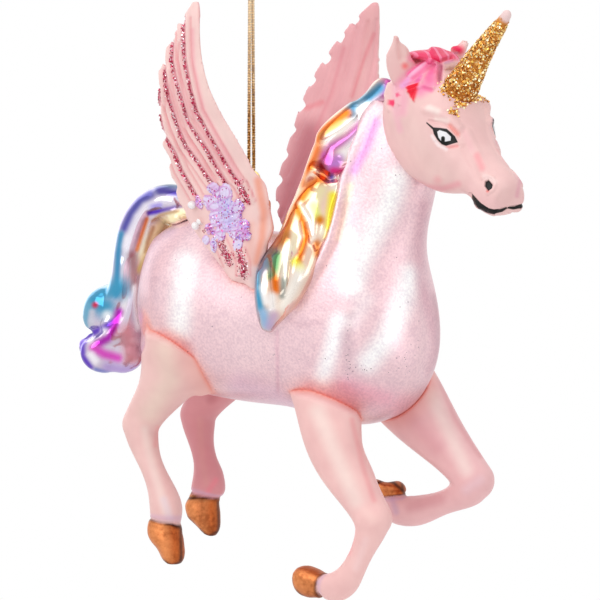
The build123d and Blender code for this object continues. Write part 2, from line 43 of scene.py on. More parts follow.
# Where the camera stands, and how large a pixel of the photograph is at the ornament
photo = {
    "azimuth": 38,
    "elevation": 2.5,
    "distance": 1.5,
    "aim": Vector((0.0146, 0, -0.0766)),
    "pixel": 0.235 * mm,
    "half": 300,
}
azimuth = math.radians(photo["azimuth"])
elevation = math.radians(photo["elevation"])
viewBack = Vector((
    math.sin(azimuth) * math.cos(elevation),
    -math.cos(azimuth) * math.cos(elevation),
    math.sin(elevation),
))
viewRight = Vector((math.cos(azimuth), math.sin(azimuth), 0))
viewUp = viewBack.cross(viewRight)
eyePoint = photo["aim"] + viewBack * photo["distance"]
backAxis, rightAxis, upAxis = (np.array(axis) for axis in (viewBack, viewRight, viewUp))


# Shader nodes
def setInputs(tree, node, inputs):
    # Each input takes a value or the socket that it is linked from.
    for socket, value in inputs.items():
        if isinstance(value, bpy.types.NodeSocket):
            tree.links.new(value, node.inputs[socket])
        else:
            node.inputs[socket].default_value = value


def addNode(tree, kind, inputs=None, **settings):
    node = tree.nodes.new("ShaderNode" + kind)
    for name, value in settings.items():
        setattr(node, name, value)
    setInputs(tree, node, inputs or {})
    return node


def combined(tree, operation, first, second):
    return addNode(tree, "Math", {0: first, 1: second}, operation=operation).outputs[0]


def mixed(tree, share, first, second, kind="RGBA", blend="MIX"):
    inputs = {"Factor": share, "A": first, "B": second}
    return addNode(tree, "Mix", inputs, data_type=kind, blend_type=blend).outputs["Result"]


def spreadOver(tree, value, low, high, start=0.3, end=0.7):
    # A value between start and end spread from low to high
    inputs = {"Value": value, "From Min": start, "From Max": end, "To Min": low, "To Max": high}
    return addNode(tree, "MapRange", inputs).outputs["Result"]


def addRamp(tree, value, stops):
    ramp = addNode(tree, "ValToRGB", {"Fac": value})
    elements = ramp.color_ramp.elements
    for element, (position, color) in ((elements[0], stops[0]), (elements[1], stops[-1])):
        element.position, element.color = position, (*color, 1)
    for position, color in stops[1:-1]:
        elements.new(position).color = (*color, 1)
    return ramp.outputs["Color"]


def attribute(tree, name, output="Fac"):
    return addNode(tree, "Attribute", attribute_name=name).outputs[output]


def objectPlace(tree):
    return addNode(tree, "TexCoord").outputs["Object"]


def newMaterial(name):
    material = bpy.data.materials.new(name)
    material.use_nodes = True
    tree = material.node_tree
    tree.nodes.clear()
    shader = addNode(tree, "BsdfPrincipled")
    addNode(tree, "OutputMaterial", {"Surface": shader.outputs[0]})
    return material, tree, shader


# Camera, studio light and floor
studio = {
    "ambient": 0.60,
    "paper": (0.93, 0.93, 0.93, 1),
    "paperRoughness": 0.9,
    "floorHeight": -0.205,
    "floorRadius": 0.60,
    "floorClear": 0.26,
    # name, direction from the ornament (right, up, towards the camera), distance, width, height, watts
    "lamps": [
        ("keyLamp", (-0.75, 0.70, 0.80), 0.70, 0.62, 0.62, 2.1),
        ("fillLamp", (0.95, 0.15, 0.75), 0.75, 0.36, 0.80, 0.9),
        ("topLamp", (0.10, 1.00, 0.10), 0.60, 0.60, 0.60, 0.9),
        ("backLamp", (-0.6, 0.45, -1.0), 0.70, 0.50, 0.60, 0.7),
    ],
}


def placed(name, data):
    thing = bpy.data.objects.new(name, data)
    bpy.context.scene.collection.objects.link(thing)
    return thing


def aimed(thing, place, way):
    thing.location = place
    thing.rotation_mode = "QUATERNION"
    thing.rotation_quaternion = way.to_track_quat("-Z", "Y")


def makeCamera():
    data = bpy.data.cameras.new("camera")
    data.sensor_width = 36
    data.lens = data.sensor_width * photo["distance"] / (2 * photo["half"] * photo["pixel"])
    data.clip_start = 0.1
    data.clip_end = 20
    camera = placed("camera", data)
    aimed(camera, eyePoint, -viewBack)
    bpy.context.scene.camera = camera


def makeLamps():
    for name, way, distance, width, height, watts in studio["lamps"]:
        data = bpy.data.lights.new(name, "AREA")
        data.shape = "RECTANGLE"
        data.size = width
        data.size_y = height
        data.energy = watts
        out = (viewRight * way[0] + Vector((0, 0, way[1])) + viewBack * way[2]).normalized()
        aimed(placed(name, data), photo["aim"] + out * distance, -out)


def makeWorld():
    # White to the camera and in reflections, dimmer as a light
    world = bpy.data.worlds.new("studioWorld")
    bpy.context.scene.world = world
    world.use_nodes = True
    tree = world.node_tree
    tree.nodes.clear()
    path = addNode(tree, "LightPath").outputs
    seen = combined(tree, "MAXIMUM", path["Is Camera Ray"], path["Is Glossy Ray"])
    seen = combined(tree, "MAXIMUM", seen, path["Is Transmission Ray"])
    strength = mixed(tree, seen, studio["ambient"], 1, "FLOAT")
    background = addNode(tree, "Background", {"Color": (1, 1, 1, 1), "Strength": strength})
    addNode(tree, "OutputWorld", {"Surface": background.outputs[0]})


def makeFloor():
    bm = bmesh.new()
    bmesh.ops.create_circle(bm, cap_ends=True, segments=96, radius=studio["floorRadius"])
    bmesh.ops.translate(bm, verts=bm.verts, vec=(0, 0, studio["floorHeight"]))
    floor = pieceFrom(bm, "floor")
    material, tree, shader = newMaterial("floorPaper")
    # The paper fades out towards its rim, so that no edge shows in any view.
    length = addNode(tree, "VectorMath", {0: objectPlace(tree)}, operation="LENGTH").outputs["Value"]
    fade = spreadOver(tree, length, 1, 0, studio["floorClear"], studio["floorRadius"])
    setInputs(tree, shader, {"Base Color": studio["paper"], "Roughness": studio["paperRoughness"], "Alpha": fade})
    floor.data.materials.append(material)


# Mesh helpers
def coordsOf(mesh):
    flat = np.empty(len(mesh.vertices) * 3)
    mesh.vertices.foreach_get("co", flat)
    return flat.reshape(-1, 3)


def normalsOf(mesh):
    flat = np.empty(len(mesh.vertices) * 3)
    mesh.vertex_normals.foreach_get("vector", flat)
    return flat.reshape(-1, 3)


def setCoords(mesh, places):
    mesh.vertices.foreach_set("co", places.reshape(-1))
    mesh.update()


def pieceFrom(bm, name):
    mesh = bpy.data.meshes.new(name)
    bm.to_mesh(mesh)
    bm.free()
    return placed(name, mesh)


def evaluatedMesh(piece):
    bpy.context.view_layer.update()
    return bpy.data.meshes.new_from_object(piece.evaluated_get(bpy.context.evaluated_depsgraph_get()))


def baked(piece):
    # The piece's mesh with its modifiers applied takes the place of its own.
    mesh = evaluatedMesh(piece)
    piece.modifiers.clear()
    old = piece.data
    piece.data = mesh
    bpy.data.meshes.remove(old)
    return piece


def mergedCopy(node):
    bm = bmesh.new()
    bm.from_mesh(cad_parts[node].data)
    bmesh.ops.remove_doubles(bm, verts=bm.verts, dist=0.002 * mm)
    return bm


def addSmoothing(piece, rounds):
    soften = piece.modifiers.new("soften", "SMOOTH")
    soften.factor = 0.5
    soften.iterations = rounds


def smoothed(piece, rounds):
    addSmoothing(piece, rounds)
    return baked(piece)


def connectedTo(start):
    group, ahead = {start}, [start]
    while ahead:
        vertex = ahead.pop()
        for edge in vertex.link_edges:
            other = edge.other_vert(vertex)
            if other not in group:
                group.add(other)
                ahead.append(other)
    return group


def dropCrumbs(piece, least=60):
    # Closed specks of a few faces that the remesh can leave inside a piece
    bm = bmesh.new()
    bm.from_mesh(piece.data)
    waiting = set(bm.verts)
    crumbs = []
    while waiting:
        group = connectedTo(next(iter(waiting)))
        waiting -= group
        if len(group) < least:
            crumbs += group
    if crumbs:
        bmesh.ops.delete(bm, geom=crumbs, context="VERTS")
        bm.to_mesh(piece.data)
    bm.free()


def evenCopy(name, bm, voxel, smoothing=4):
    # An even mesh of the same form, fine enough to model on
    piece = pieceFrom(bm, name)
    remesh = piece.modifiers.new("even", "REMESH")
    remesh.mode = "VOXEL"
    remesh.voxel_size = voxel * 1
    addSmoothing(piece, smoothing)
    dropCrumbs(baked(piece))
    return piece


def finishPiece(piece, body, materials, replaces=()):
    piece.data.materials.clear()
    for material in materials:
        piece.data.materials.append(material)
    piece.data.shade_smooth()
    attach(piece, body)
    if replaces:
        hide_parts(*replaces)
    return piece


def treeOf(mesh):
    bm = bmesh.new()
    bm.from_mesh(mesh)
    tree = BVHTree.FromBMesh(bm)
    bm.free()
    return tree


def gapTo(tree, places):
    # Distance of each place from a piece's surface
    return np.array([tree.find_nearest(Vector(place))[3] for place in places])


def framed(axes, place):
    turned = Matrix(axes).transposed().to_4x4()
    turned.translation = place
    return turned


def mirrored(places):
    return places * np.array((1, -1, 1))


def mirrorCopy(piece, name):
    bm = bmesh.new()
    bm.from_mesh(piece.data)
    bmesh.ops.scale(bm, verts=bm.verts, vec=(1, -1, 1))
    bmesh.ops.reverse_faces(bm, faces=bm.faces)
    return pieceFrom(bm, name)


# Places in the photograph
def seenAt(places):
    # Pixel of the photograph at which the camera sees each place
    offset = places - np.array(photo["aim"])
    scale = photo["distance"] / (photo["distance"] - offset @ backAxis) / photo["pixel"]
    x = photo["half"] + offset @ rightAxis * scale
    y = photo["half"] - offset @ upAxis * scale
    return np.stack([x, y], axis=1)


def inPlane(x, y):
    # Where a pixel lies in the plane through the middle of the ornament
    return photo["aim"] + (viewRight * (x - photo["half"]) + viewUp * (photo["half"] - y)) * photo["pixel"]


def onSurface(tree, pixel):
    # Where the line of sight through a pixel meets a piece, and which way the surface faces there
    hit, normal, _, _ = tree.ray_cast(eyePoint, (inPlane(*pixel) - eyePoint).normalized())
    return hit, normal


def nearLine(places, line):
    # Distance of each place from a line of points
    line = np.array(line, float)
    if len(line) == 1:
        return np.linalg.norm(places - line[0], axis=1)
    best = np.full(len(places), np.inf)
    for start, end in zip(line, line[1:]):
        length = np.linalg.norm(end - start)
        way = (end - start) / length
        share = np.clip((places - start) @ way, 0, length)
        best = np.minimum(best, np.linalg.norm(places - start - share[:, None] * way, axis=1))
    return best


def step(value, low, high):
    share = np.clip((value - low) / (high - low), 0, 1)
    return share * share * (3 - 2 * share)


def soft(gap, reach):
    # 1 at the middle and 0 from the reach outwards
    return step(1 - gap / reach, 0, 1)


def closeTo(pixels, line, reach):
    return soft(nearLine(pixels, line), reach)


def facingCamera(normals, low, high):
    return step(normals @ backAxis, low, high)


def flankViews(places, normals):
    # What faces away from the camera is read at its mirror place on the near flank, with a soft change between.
    near = facingCamera(normals, -0.45, 0.05)
    return (seenAt(places), near), (seenAt(mirrored(places)), 1 - near)


def insideOf(pixels, outline, edge=0.35):
    # 1 inside a closed outline of the photograph, 0 outside, with a narrow soft edge
    corners = np.array(outline, float)
    crossed = np.zeros(len(pixels), bool)
    for first, second in zip(corners, np.roll(corners, -1, axis=0)):
        between = (first[1] > pixels[:, 1]) != (second[1] > pixels[:, 1])
        rise = second[1] - first[1]
        reach = first[0] + (pixels[:, 1] - first[1]) * (second[0] - first[0]) / (rise if rise else 1)
        crossed ^= between & (pixels[:, 0] < reach)
    gap = nearLine(pixels, np.vstack([corners, corners[:1]]))
    return step(np.where(crossed, gap, -gap), -edge, edge)


# Carving and painting
def carved(places, normals, pixels, cuts, where=1.0):
    # Grooves and ridges: each a line of the photograph, its reach in pixels and its height in mm
    shift = np.zeros(len(places))
    for line, reach, height in cuts:
        shift += closeTo(pixels, line, reach) * height * mm * where
    return places + normals * shift[:, None]


def nudged(places, nudges):
    # Soft shifts in the plane of the photograph: a line, its reach, and how far right and down, all in pixels
    for line, reach, right, down in nudges:
        way = (rightAxis * right - upAxis * down) * photo["pixel"]
        places = places + closeTo(seenAt(places), line, reach)[:, None] * way
    return places


def hue(red, green, blue):
    # A colour written as it looks on a screen, from 0 to 255
    return tuple((value / 255) ** 2.2 for value in (red, green, blue))


def plain(color, count):
    return np.tile(np.array(hue(*color)), (count, 1))


def blended(base, color, mask):
    return base + (np.array(hue(*color)) - base) * mask[:, None]


def brushed(colors, pixels, strokes, where=1.0, full=0.0):
    # Soft strokes of colour: each a line of the photograph, its reach in pixels, its colour and its strength
    for line, reach, color, strength in strokes:
        gap = np.maximum(nearLine(pixels, line) - reach * full, 0)
        colors = blended(colors, color, soft(gap, reach) * strength * where)
    return colors


def banded(colors, gap, color, reach, strength):
    # A band of colour, full where the gap is nothing and gone at its reach
    return blended(colors, color, soft(gap, reach) * strength)


def paint(piece, name, colors):
    layer = piece.data.attributes.new(name, "FLOAT_COLOR", "POINT")
    rgba = np.concatenate([np.clip(colors, 0, 1), np.ones((len(colors), 1))], axis=1)
    layer.data.foreach_set("color", rgba.astype(np.float32).reshape(-1))


def paintMask(piece, name, values):
    layer = piece.data.attributes.new(name, "FLOAT", "POINT")
    layer.data.foreach_set("value", np.clip(values, 0, 1).astype(np.float32))


def paintResin(piece, colors, copper=0.0, gloss=0.0):
    paint(piece, "colourAndPaintedLight", colors)
    paintMask(piece, "copper", np.zeros(len(colors)) + copper)
    paintMask(piece, "gloss", np.zeros(len(colors)) + gloss)


# Materials
def makeSurfaceGrain():
    # Fine and coarse unevenness of a hand-made surface, as a height and a mask
    group = bpy.data.node_groups.new("surfaceGrain", "ShaderNodeTree")
    for way, labels in (("INPUT", ("Fine Scale", "Coarse Scale", "Fine Share")), ("OUTPUT", ("Height", "Mottle"))):
        for label in labels:
            group.interface.new_socket(label, in_out=way, socket_type="NodeSocketFloat")
    start = group.nodes.new("NodeGroupInput").outputs
    end = group.nodes.new("NodeGroupOutput")
    place = objectPlace(group)
    fine = addNode(group, "TexNoise", {"Vector": place, "Scale": start["Fine Scale"], "Detail": 3}).outputs["Fac"]
    coarse = addNode(group, "TexNoise", {"Vector": place, "Scale": start["Coarse Scale"], "Detail": 2}).outputs["Fac"]
    setInputs(group, end, {"Height": mixed(group, start["Fine Share"], coarse, fine, "FLOAT"), "Mottle": coarse})
    return group


surfaceGrain = makeSurfaceGrain()


def addGrain(tree, fineScale, coarseScale, fineShare):
    inputs = {"Fine Scale": fineScale, "Coarse Scale": coarseScale, "Fine Share": fineShare}
    grain = addNode(tree, "Group", inputs, node_tree=surfaceGrain)
    return grain.outputs["Height"], grain.outputs["Mottle"]


def addBump(tree, shader, height, strength, depth):
    bump = addNode(tree, "Bump", {"Height": height, "Strength": strength, "Distance": depth})
    setInputs(tree, shader, {"Normal": bump.outputs["Normal"]})


def tinted(tree, shade):
    # The piece's own painted colours, with any highlights and shade painted into them, under a shade
    return mixed(tree, 1, attribute(tree, "colourAndPaintedLight", "Color"), shade, blend="MULTIPLY")


def frostedGlassMaterial():
    material, tree, shader = newMaterial("frostedGlass")
    height, mottle = addGrain(tree, fineScale=1700, coarseScale=260, fineShare=0.75)
    skin = tinted(tree, addRamp(tree, height, [(0.38, (0.85, 0.82, 0.86)), (0.60, (1.0, 1.0, 1.0))]))
    # Small dark specks where the silvering shows through
    cells = addNode(tree, "TexVoronoi", {"Vector": objectPlace(tree), "Scale": 2300}).outputs
    draw = addNode(tree, "SeparateColor", {"Color": cells["Color"]}).outputs["Red"]
    chosen = combined(tree, "LESS_THAN", draw, combined(tree, "MULTIPLY", attribute(tree, "specks"), 0.5))
    speck = combined(tree, "MULTIPLY", chosen, combined(tree, "LESS_THAN", cells["Distance"], 0.32))
    setInputs(tree, shader, {
        "Base Color": mixed(tree, speck, skin, (0.22, 0.17, 0.20, 1)),
        "Metallic": 0.55,
        "Roughness": spreadOver(tree, mottle, 0.34, 0.46),
    })
    addBump(tree, shader, height, 0.35, 0.25 * mm)
    return material


def mirrorGlassMaterial():
    material, tree, shader = newMaterial("rainbowGlass")
    height, mottle = addGrain(tree, fineScale=500, coarseScale=90, fineShare=0.25)
    setInputs(tree, shader, {
        "Base Color": tinted(tree, addRamp(tree, mottle, [(0.30, (0.90, 0.90, 0.92)), (0.65, (1.0, 1.0, 1.0))])),
        "Metallic": spreadOver(tree, attribute(tree, "frost"), 0.90, 0.15, 0, 1),
        "Coat Weight": 0.25,
        "Coat Roughness": 0.06,
        "Roughness": spreadOver(tree, mottle, 0.13, 0.20),
    })
    addBump(tree, shader, height, 0.12, 0.3 * mm)
    return material


def paintedResinMaterial():
    material, tree, shader = newMaterial("paintedResin")
    height, mottle = addGrain(tree, fineScale=1100, coarseScale=160, fineShare=0.45)
    shade = addRamp(tree, mottle, [(0.30, (0.93, 0.89, 0.90)), (0.66, (1.0, 1.0, 1.0))])
    # Copper paint is streaked, with darker metal in its hollows.
    streaks = addRamp(tree, height, [(0.38, (0.50, 0.38, 0.30)), (0.48, (0.78, 0.70, 0.64)), (0.62, (1.0, 1.0, 1.0))])
    metal = attribute(tree, "copper")
    rough = spreadOver(tree, mottle, 0.36, 0.48)
    setInputs(tree, shader, {
        "Base Color": tinted(tree, mixed(tree, metal, shade, streaks)),
        "Roughness": mixed(tree, attribute(tree, "gloss"), rough, 0.12, "FLOAT"),
        "Metallic": metal,
        "Specular IOR Level": 0.22,
        "Coat Weight": 0.05,
        "Coat Roughness": 0.3,
    })
    addBump(tree, shader, height, 0.25, 0.12 * mm)
    return material


def flakeMaterial():
    # One colour a flake, from its own attribute, roughened here and there
    material, tree, shader = newMaterial("flakeGlitter")
    height, _ = addGrain(tree, fineScale=4000, coarseScale=900, fineShare=0.5)
    setInputs(tree, shader, {
        "Base Color": tinted(tree, addRamp(tree, height, [(0.35, (0.8, 0.8, 0.8)), (0.65, (1.0, 1.0, 1.0))])),
        "Roughness": spreadOver(tree, height, 0.12, 0.34, 0, 1),
        "Metallic": 0.85,
    })
    return material


def brassMaterial():
    material, tree, shader = newMaterial("brass")
    height, mottle = addGrain(tree, fineScale=500, coarseScale=62.5, fineShare=0.5)
    setInputs(tree, shader, {
        "Base Color": addRamp(tree, mottle, [(0.35, (0.70, 0.48, 0.16)), (0.65, (0.92, 0.70, 0.32))]),
        "Metallic": 1,
        "Roughness": spreadOver(tree, height, 0.18, 0.33, 0, 1),
    })
    addBump(tree, shader, height, 0.1, 0.1 * mm)
    return material


def threadMaterial():
    # Metallic thread: painted shade in its gaps, gold turns and a few painted glints, paler towards its top
    material, tree, shader = newMaterial("goldThread")
    height, mottle = addGrain(tree, fineScale=2600, coarseScale=600, fineShare=0.75)
    gold = addRamp(tree, height, [
        (0.40, hue(104, 62, 22)), (0.47, hue(176, 122, 52)), (0.54, hue(222, 174, 96)), (0.62, hue(255, 236, 190)),
    ])
    place = objectPlace(tree)
    # Turns of the twist: a valley of painted shade every third of its lay
    waves = {"Vector": place, "Scale": 496, "Distortion": 0}
    turns = addNode(tree, "TexWave", waves, wave_type="BANDS", bands_direction="Z").outputs["Fac"]
    valleyShade = addRamp(tree, turns, [(0.10, (0.30, 0.24, 0.18)), (0.55, (1.0, 1.0, 1.0))])
    rise = addNode(tree, "SeparateXYZ", {"Vector": place}).outputs["Z"]
    paleTowardsTop = spreadOver(tree, rise, 0, 0.7, -0.036, -0.002)
    turned = mixed(tree, 1, gold, valleyShade, blend="MULTIPLY")
    setInputs(tree, shader, {
        "Base Color": mixed(tree, paleTowardsTop, turned, hue(246, 228, 196) + (1,)),
        "Metallic": 0.9,
        "Roughness": spreadOver(tree, mottle, 0.25, 0.45, 0, 1),
    })
    addBump(tree, shader, height, 0.5, 0.15 * mm)
    return material


def pearlMaterial():
    material, tree, shader = newMaterial("pearl")
    # The base colour darkens from the middle towards the pearl's outline as seen: painted shade at its rim.
    facing = addNode(tree, "LayerWeight", {"Blend": 0.4}).outputs["Facing"]
    height, _ = addGrain(tree, fineScale=1200, coarseScale=300, fineShare=0.4)
    setInputs(tree, shader, {
        "Base Color": addRamp(tree, facing, [
            (0.0, (0.95, 0.92, 0.90)), (0.5, (0.88, 0.84, 0.86)), (1.0, (0.62, 0.55, 0.58)),
        ]),
        "Roughness": 0.12,
        "Coat Weight": 0.7,
    })
    addBump(tree, shader, height, 0.06, 0.1 * mm)
    return material


frostedGlass = frostedGlassMaterial()
rainbowGlass = mirrorGlassMaterial()
paintedResin = paintedResinMaterial()
brass = brassMaterial()
goldThread = threadMaterial()
pearl = pearlMaterial()
flakeGlitter = flakeMaterial()

makeCamera()
makeWorld()
makeLamps()
makeFloor()
print("studio ready")

# The cap, the wire and the pearls keep the meshes of the CAD.
plainNodes = {"hanger_wire": brass, "hanger_cap": brass, "right_pearls": pearl, "left_pearls": pearl}
for node, material in plainNodes.items():
    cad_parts[node].data.materials.clear()
    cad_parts[node].data.materials.append(material)

# The cord loop: its route is the cord's own, and a last point near the eye on each strand keeps the spline straight.
cordSizes = {
    "route": [
        (-0.55, -1.2),
        (-0.90, -41.5),
        (-0.939, -47.53),
        (0.939, -47.53),
        (0.90, -41.5),
        (0.55, -1.2),
    ],
    "diameter": 0.9,
    "length": 93.7,
    "strandDiameter": 0.44,
    "strands": 3,
    "lay": 1.9,
    "step": 0.28,
    "sides": 7,
}


def cordCentreline():
    curve = bpy.data.curves.new("cordRoute", "CURVE")
    curve.dimensions = "3D"
    spline = curve.splines.new("NURBS")
    spline.points.add(len(cordSizes["route"]) - 1)
    for point, (y, z) in zip(spline.points, cordSizes["route"]):
        point.co = (0, y * mm, z * mm, 1)
    spline.order_u = 3
    spline.use_endpoint_u = True
    spline.resolution_u = 40
    guide = placed("cordRoute", curve)
    line = evaluatedMesh(guide)
    points = [vertex.co.copy() for vertex in line.vertices]
    bpy.data.objects.remove(guide)
    bpy.data.meshes.remove(line)
    return points


def resampled(points, gap):
    # The same line with points at even spacing
    lengths = [0]
    for before, after in zip(points, points[1:]):
        lengths.append(lengths[-1] + (after - before).length)
    count = max(int(lengths[-1] / gap), 2)
    even = []
    index = 0
    for number in range(count + 1):
        target = lengths[-1] * number / count
        while index < len(lengths) - 2 and lengths[index + 1] < target:
            index += 1
        share = (target - lengths[index]) / (lengths[index + 1] - lengths[index])
        even.append(points[index].lerp(points[index + 1], share))
    return even


def axesAlong(points):
    # At each point, the way along the line and a direction across it that doesn't twist
    side = Vector((1, 0, 0))
    for index, point in enumerate(points):
        way = (points[min(index + 1, len(points) - 1)] - points[max(index - 1, 0)]).normalized()
        side = (side - way * side.dot(way)).normalized()
        yield point, way, side


def tube(bm, points, radius, sides):
    # Rings bridged along a line of points, closed at both ends
    rings = []
    for point, way, side in axesAlong(points):
        turned = framed((side, way.cross(side), way), point)
        rings.append(bmesh.ops.create_circle(bm, segments=sides, radius=radius, matrix=turned)["verts"])
    for pair in zip(rings, rings[1:]):
        edges = []
        for ring in pair:
            edges += [bm.edges.get((ring[k], ring[(k + 1) % sides])) for k in range(sides)]
        bmesh.ops.bridge_loops(bm, edges=edges)
    for ring in (rings[0], rings[-1]):
        bmesh.ops.contextual_create(bm, geom=ring)


def twistedStrands(bm, points, radius, offset, lay, strands, sides):
    for strand in range(strands):
        walked = 0
        places = []
        last = points[0]
        for point, way, side in axesAlong(points):
            walked += (point - last).length
            last = point
            angle = 2 * math.pi * (walked / lay + strand / strands)
            places.append(point + (side * math.cos(angle) + way.cross(side) * math.sin(angle)) * offset)
        tube(bm, places, radius, sides)


def makeCord():
    centre = resampled(cordCentreline(), cordSizes["step"] * mm)
    bm = bmesh.new()
    radius = cordSizes["strandDiameter"] / 2 * mm
    offset = cordSizes["diameter"] / 2 * mm - radius
    twistedStrands(bm, centre, radius, offset, cordSizes["lay"] * mm, cordSizes["strands"], cordSizes["sides"])
    bmesh.ops.recalc_face_normals(bm, faces=bm.faces)
    return pieceFrom(bm, "goldCord"), centre


knotSizes = {
    "loops": ((0.45, 1.0), (-0.5, 1.06), (0.05, 0.9)),  # how far each leans, and its size beside the radius
    "loopRadius": 0.95,
    "loopTurn": 0.94,
    "loopRise": 1.2,
    "strandRadius": 0.22 * mm,
    "strandOffset": 0.2 * mm,
    "strands": 3,
    "loopLay": 1.5 * mm,
    "tailLay": 1.7 * mm,
    "tailHeight": 4.4,
    "tailSpread": 1.1,
    "tailFoot": -0.3,
    "step": 0.2 * mm,
    "sides": 6,
}


def makeKnot():
    # An overhand knot: a crossed turn of each strand, and two cut tails
    bm = bmesh.new()
    lines = []
    for lean, size in knotSizes["loops"]:
        loop = []
        for number in range(25):
            angle = 2 * math.pi * number / 24 * knotSizes["loopTurn"]
            loop.append(Vector((
                math.cos(angle) * knotSizes["loopRadius"] * size * mm,
                math.sin(angle) * knotSizes["loopRadius"] * size * mm,
                math.sin(angle + lean * 3) * lean * knotSizes["loopRise"] * mm,
            )))
        lines.append((loop, knotSizes["loopLay"]))
    for side in (-1, 1):
        tail = []
        for share in (0, 0.35, 0.7, 1):
            out = side * share * share * knotSizes["tailSpread"]
            tail.append(Vector((0, out, share * knotSizes["tailHeight"] + knotSizes["tailFoot"])) * mm)
        lines.append((tail, knotSizes["tailLay"]))
    for line, lay in lines:
        radius, offset = knotSizes["strandRadius"], knotSizes["strandOffset"]
        even = resampled(line, knotSizes["step"])
        twistedStrands(bm, even, radius, offset, lay, knotSizes["strands"], knotSizes["sides"])
    bmesh.ops.recalc_face_normals(bm, faces=bm.faces)
    return pieceFrom(bm, "cordKnot")


goldCord, cordLine = makeCord()
cordKnot = makeKnot()
finishPiece(goldCord, "cord", [goldThread], ["hanging_cord"])
finishPiece(cordKnot, "knot", [goldThread], ["cord_knot"])
print("cord ready")

# Glitter: flat six-sided flakes glued on, each with its own tilt and colour
def glitterPiece(name, spots, look):
    chance = random.Random(look["seed"])
    whole = bmesh.new()
    batch = bpy.data.meshes.new("batch")
    colors = []
    # Small batches are quicker to fill than one large mesh.
    for start in range(0, len(spots), 60):
        bm = bmesh.new()
        for place, normal in spots[start:start + 60]:
            radius = chance.uniform(*look["radius"])
            lean = Vector([chance.uniform(-1, 1) for _ in range(3)]) * look["tilt"]
            turn = (normal + lean).normalized().to_track_quat("Z", "Y").to_matrix().to_4x4()
            turn.translation = place + normal * look["lift"] * chance.uniform(0.6, 1.5)
            made = bmesh.ops.create_cone(
                bm, cap_ends=True, segments=6, radius1=radius, radius2=radius, depth=look["thickness"],
                matrix=turn @ Matrix.Rotation(chance.uniform(0, math.pi), 4, "Z"),
            )
            colors += [hue(*chance.choice(look["colors"]))] * len(made["verts"])
        bm.to_mesh(batch)
        bm.free()
        whole.from_mesh(batch)
    bpy.data.meshes.remove(batch)
    piece = pieceFrom(whole, name)
    paint(piece, "colourAndPaintedLight", np.array(colors))
    finishPiece(piece, "figure", [flakeGlitter])
    piece.data.shade_flat()


def pixelSpots(tree, strokes, seed):
    # Places on a surface, strewn along lines of the photograph: line, spread in pixels, flakes per pixel
    chance = random.Random(seed)
    spots = []
    for line, spread, density in strokes:
        for (x0, y0), (x1, y1) in zip(line, line[1:]):
            for _ in range(int(math.hypot(x1 - x0, y1 - y0) * density)):
                share = chance.random()
                pixel = (
                    x0 + (x1 - x0) * share + chance.gauss(0, spread),
                    y0 + (y1 - y0) * share + chance.gauss(0, spread),
                )
                place, normal = onSurface(tree, pixel)
                if place is not None:
                    spots.append((place, normal))
    return spots


def mirroredSpots(spots):
    return [(Vector((p.x, -p.y, p.z)), Vector((n.x, -n.y, n.z))) for p, n in spots]


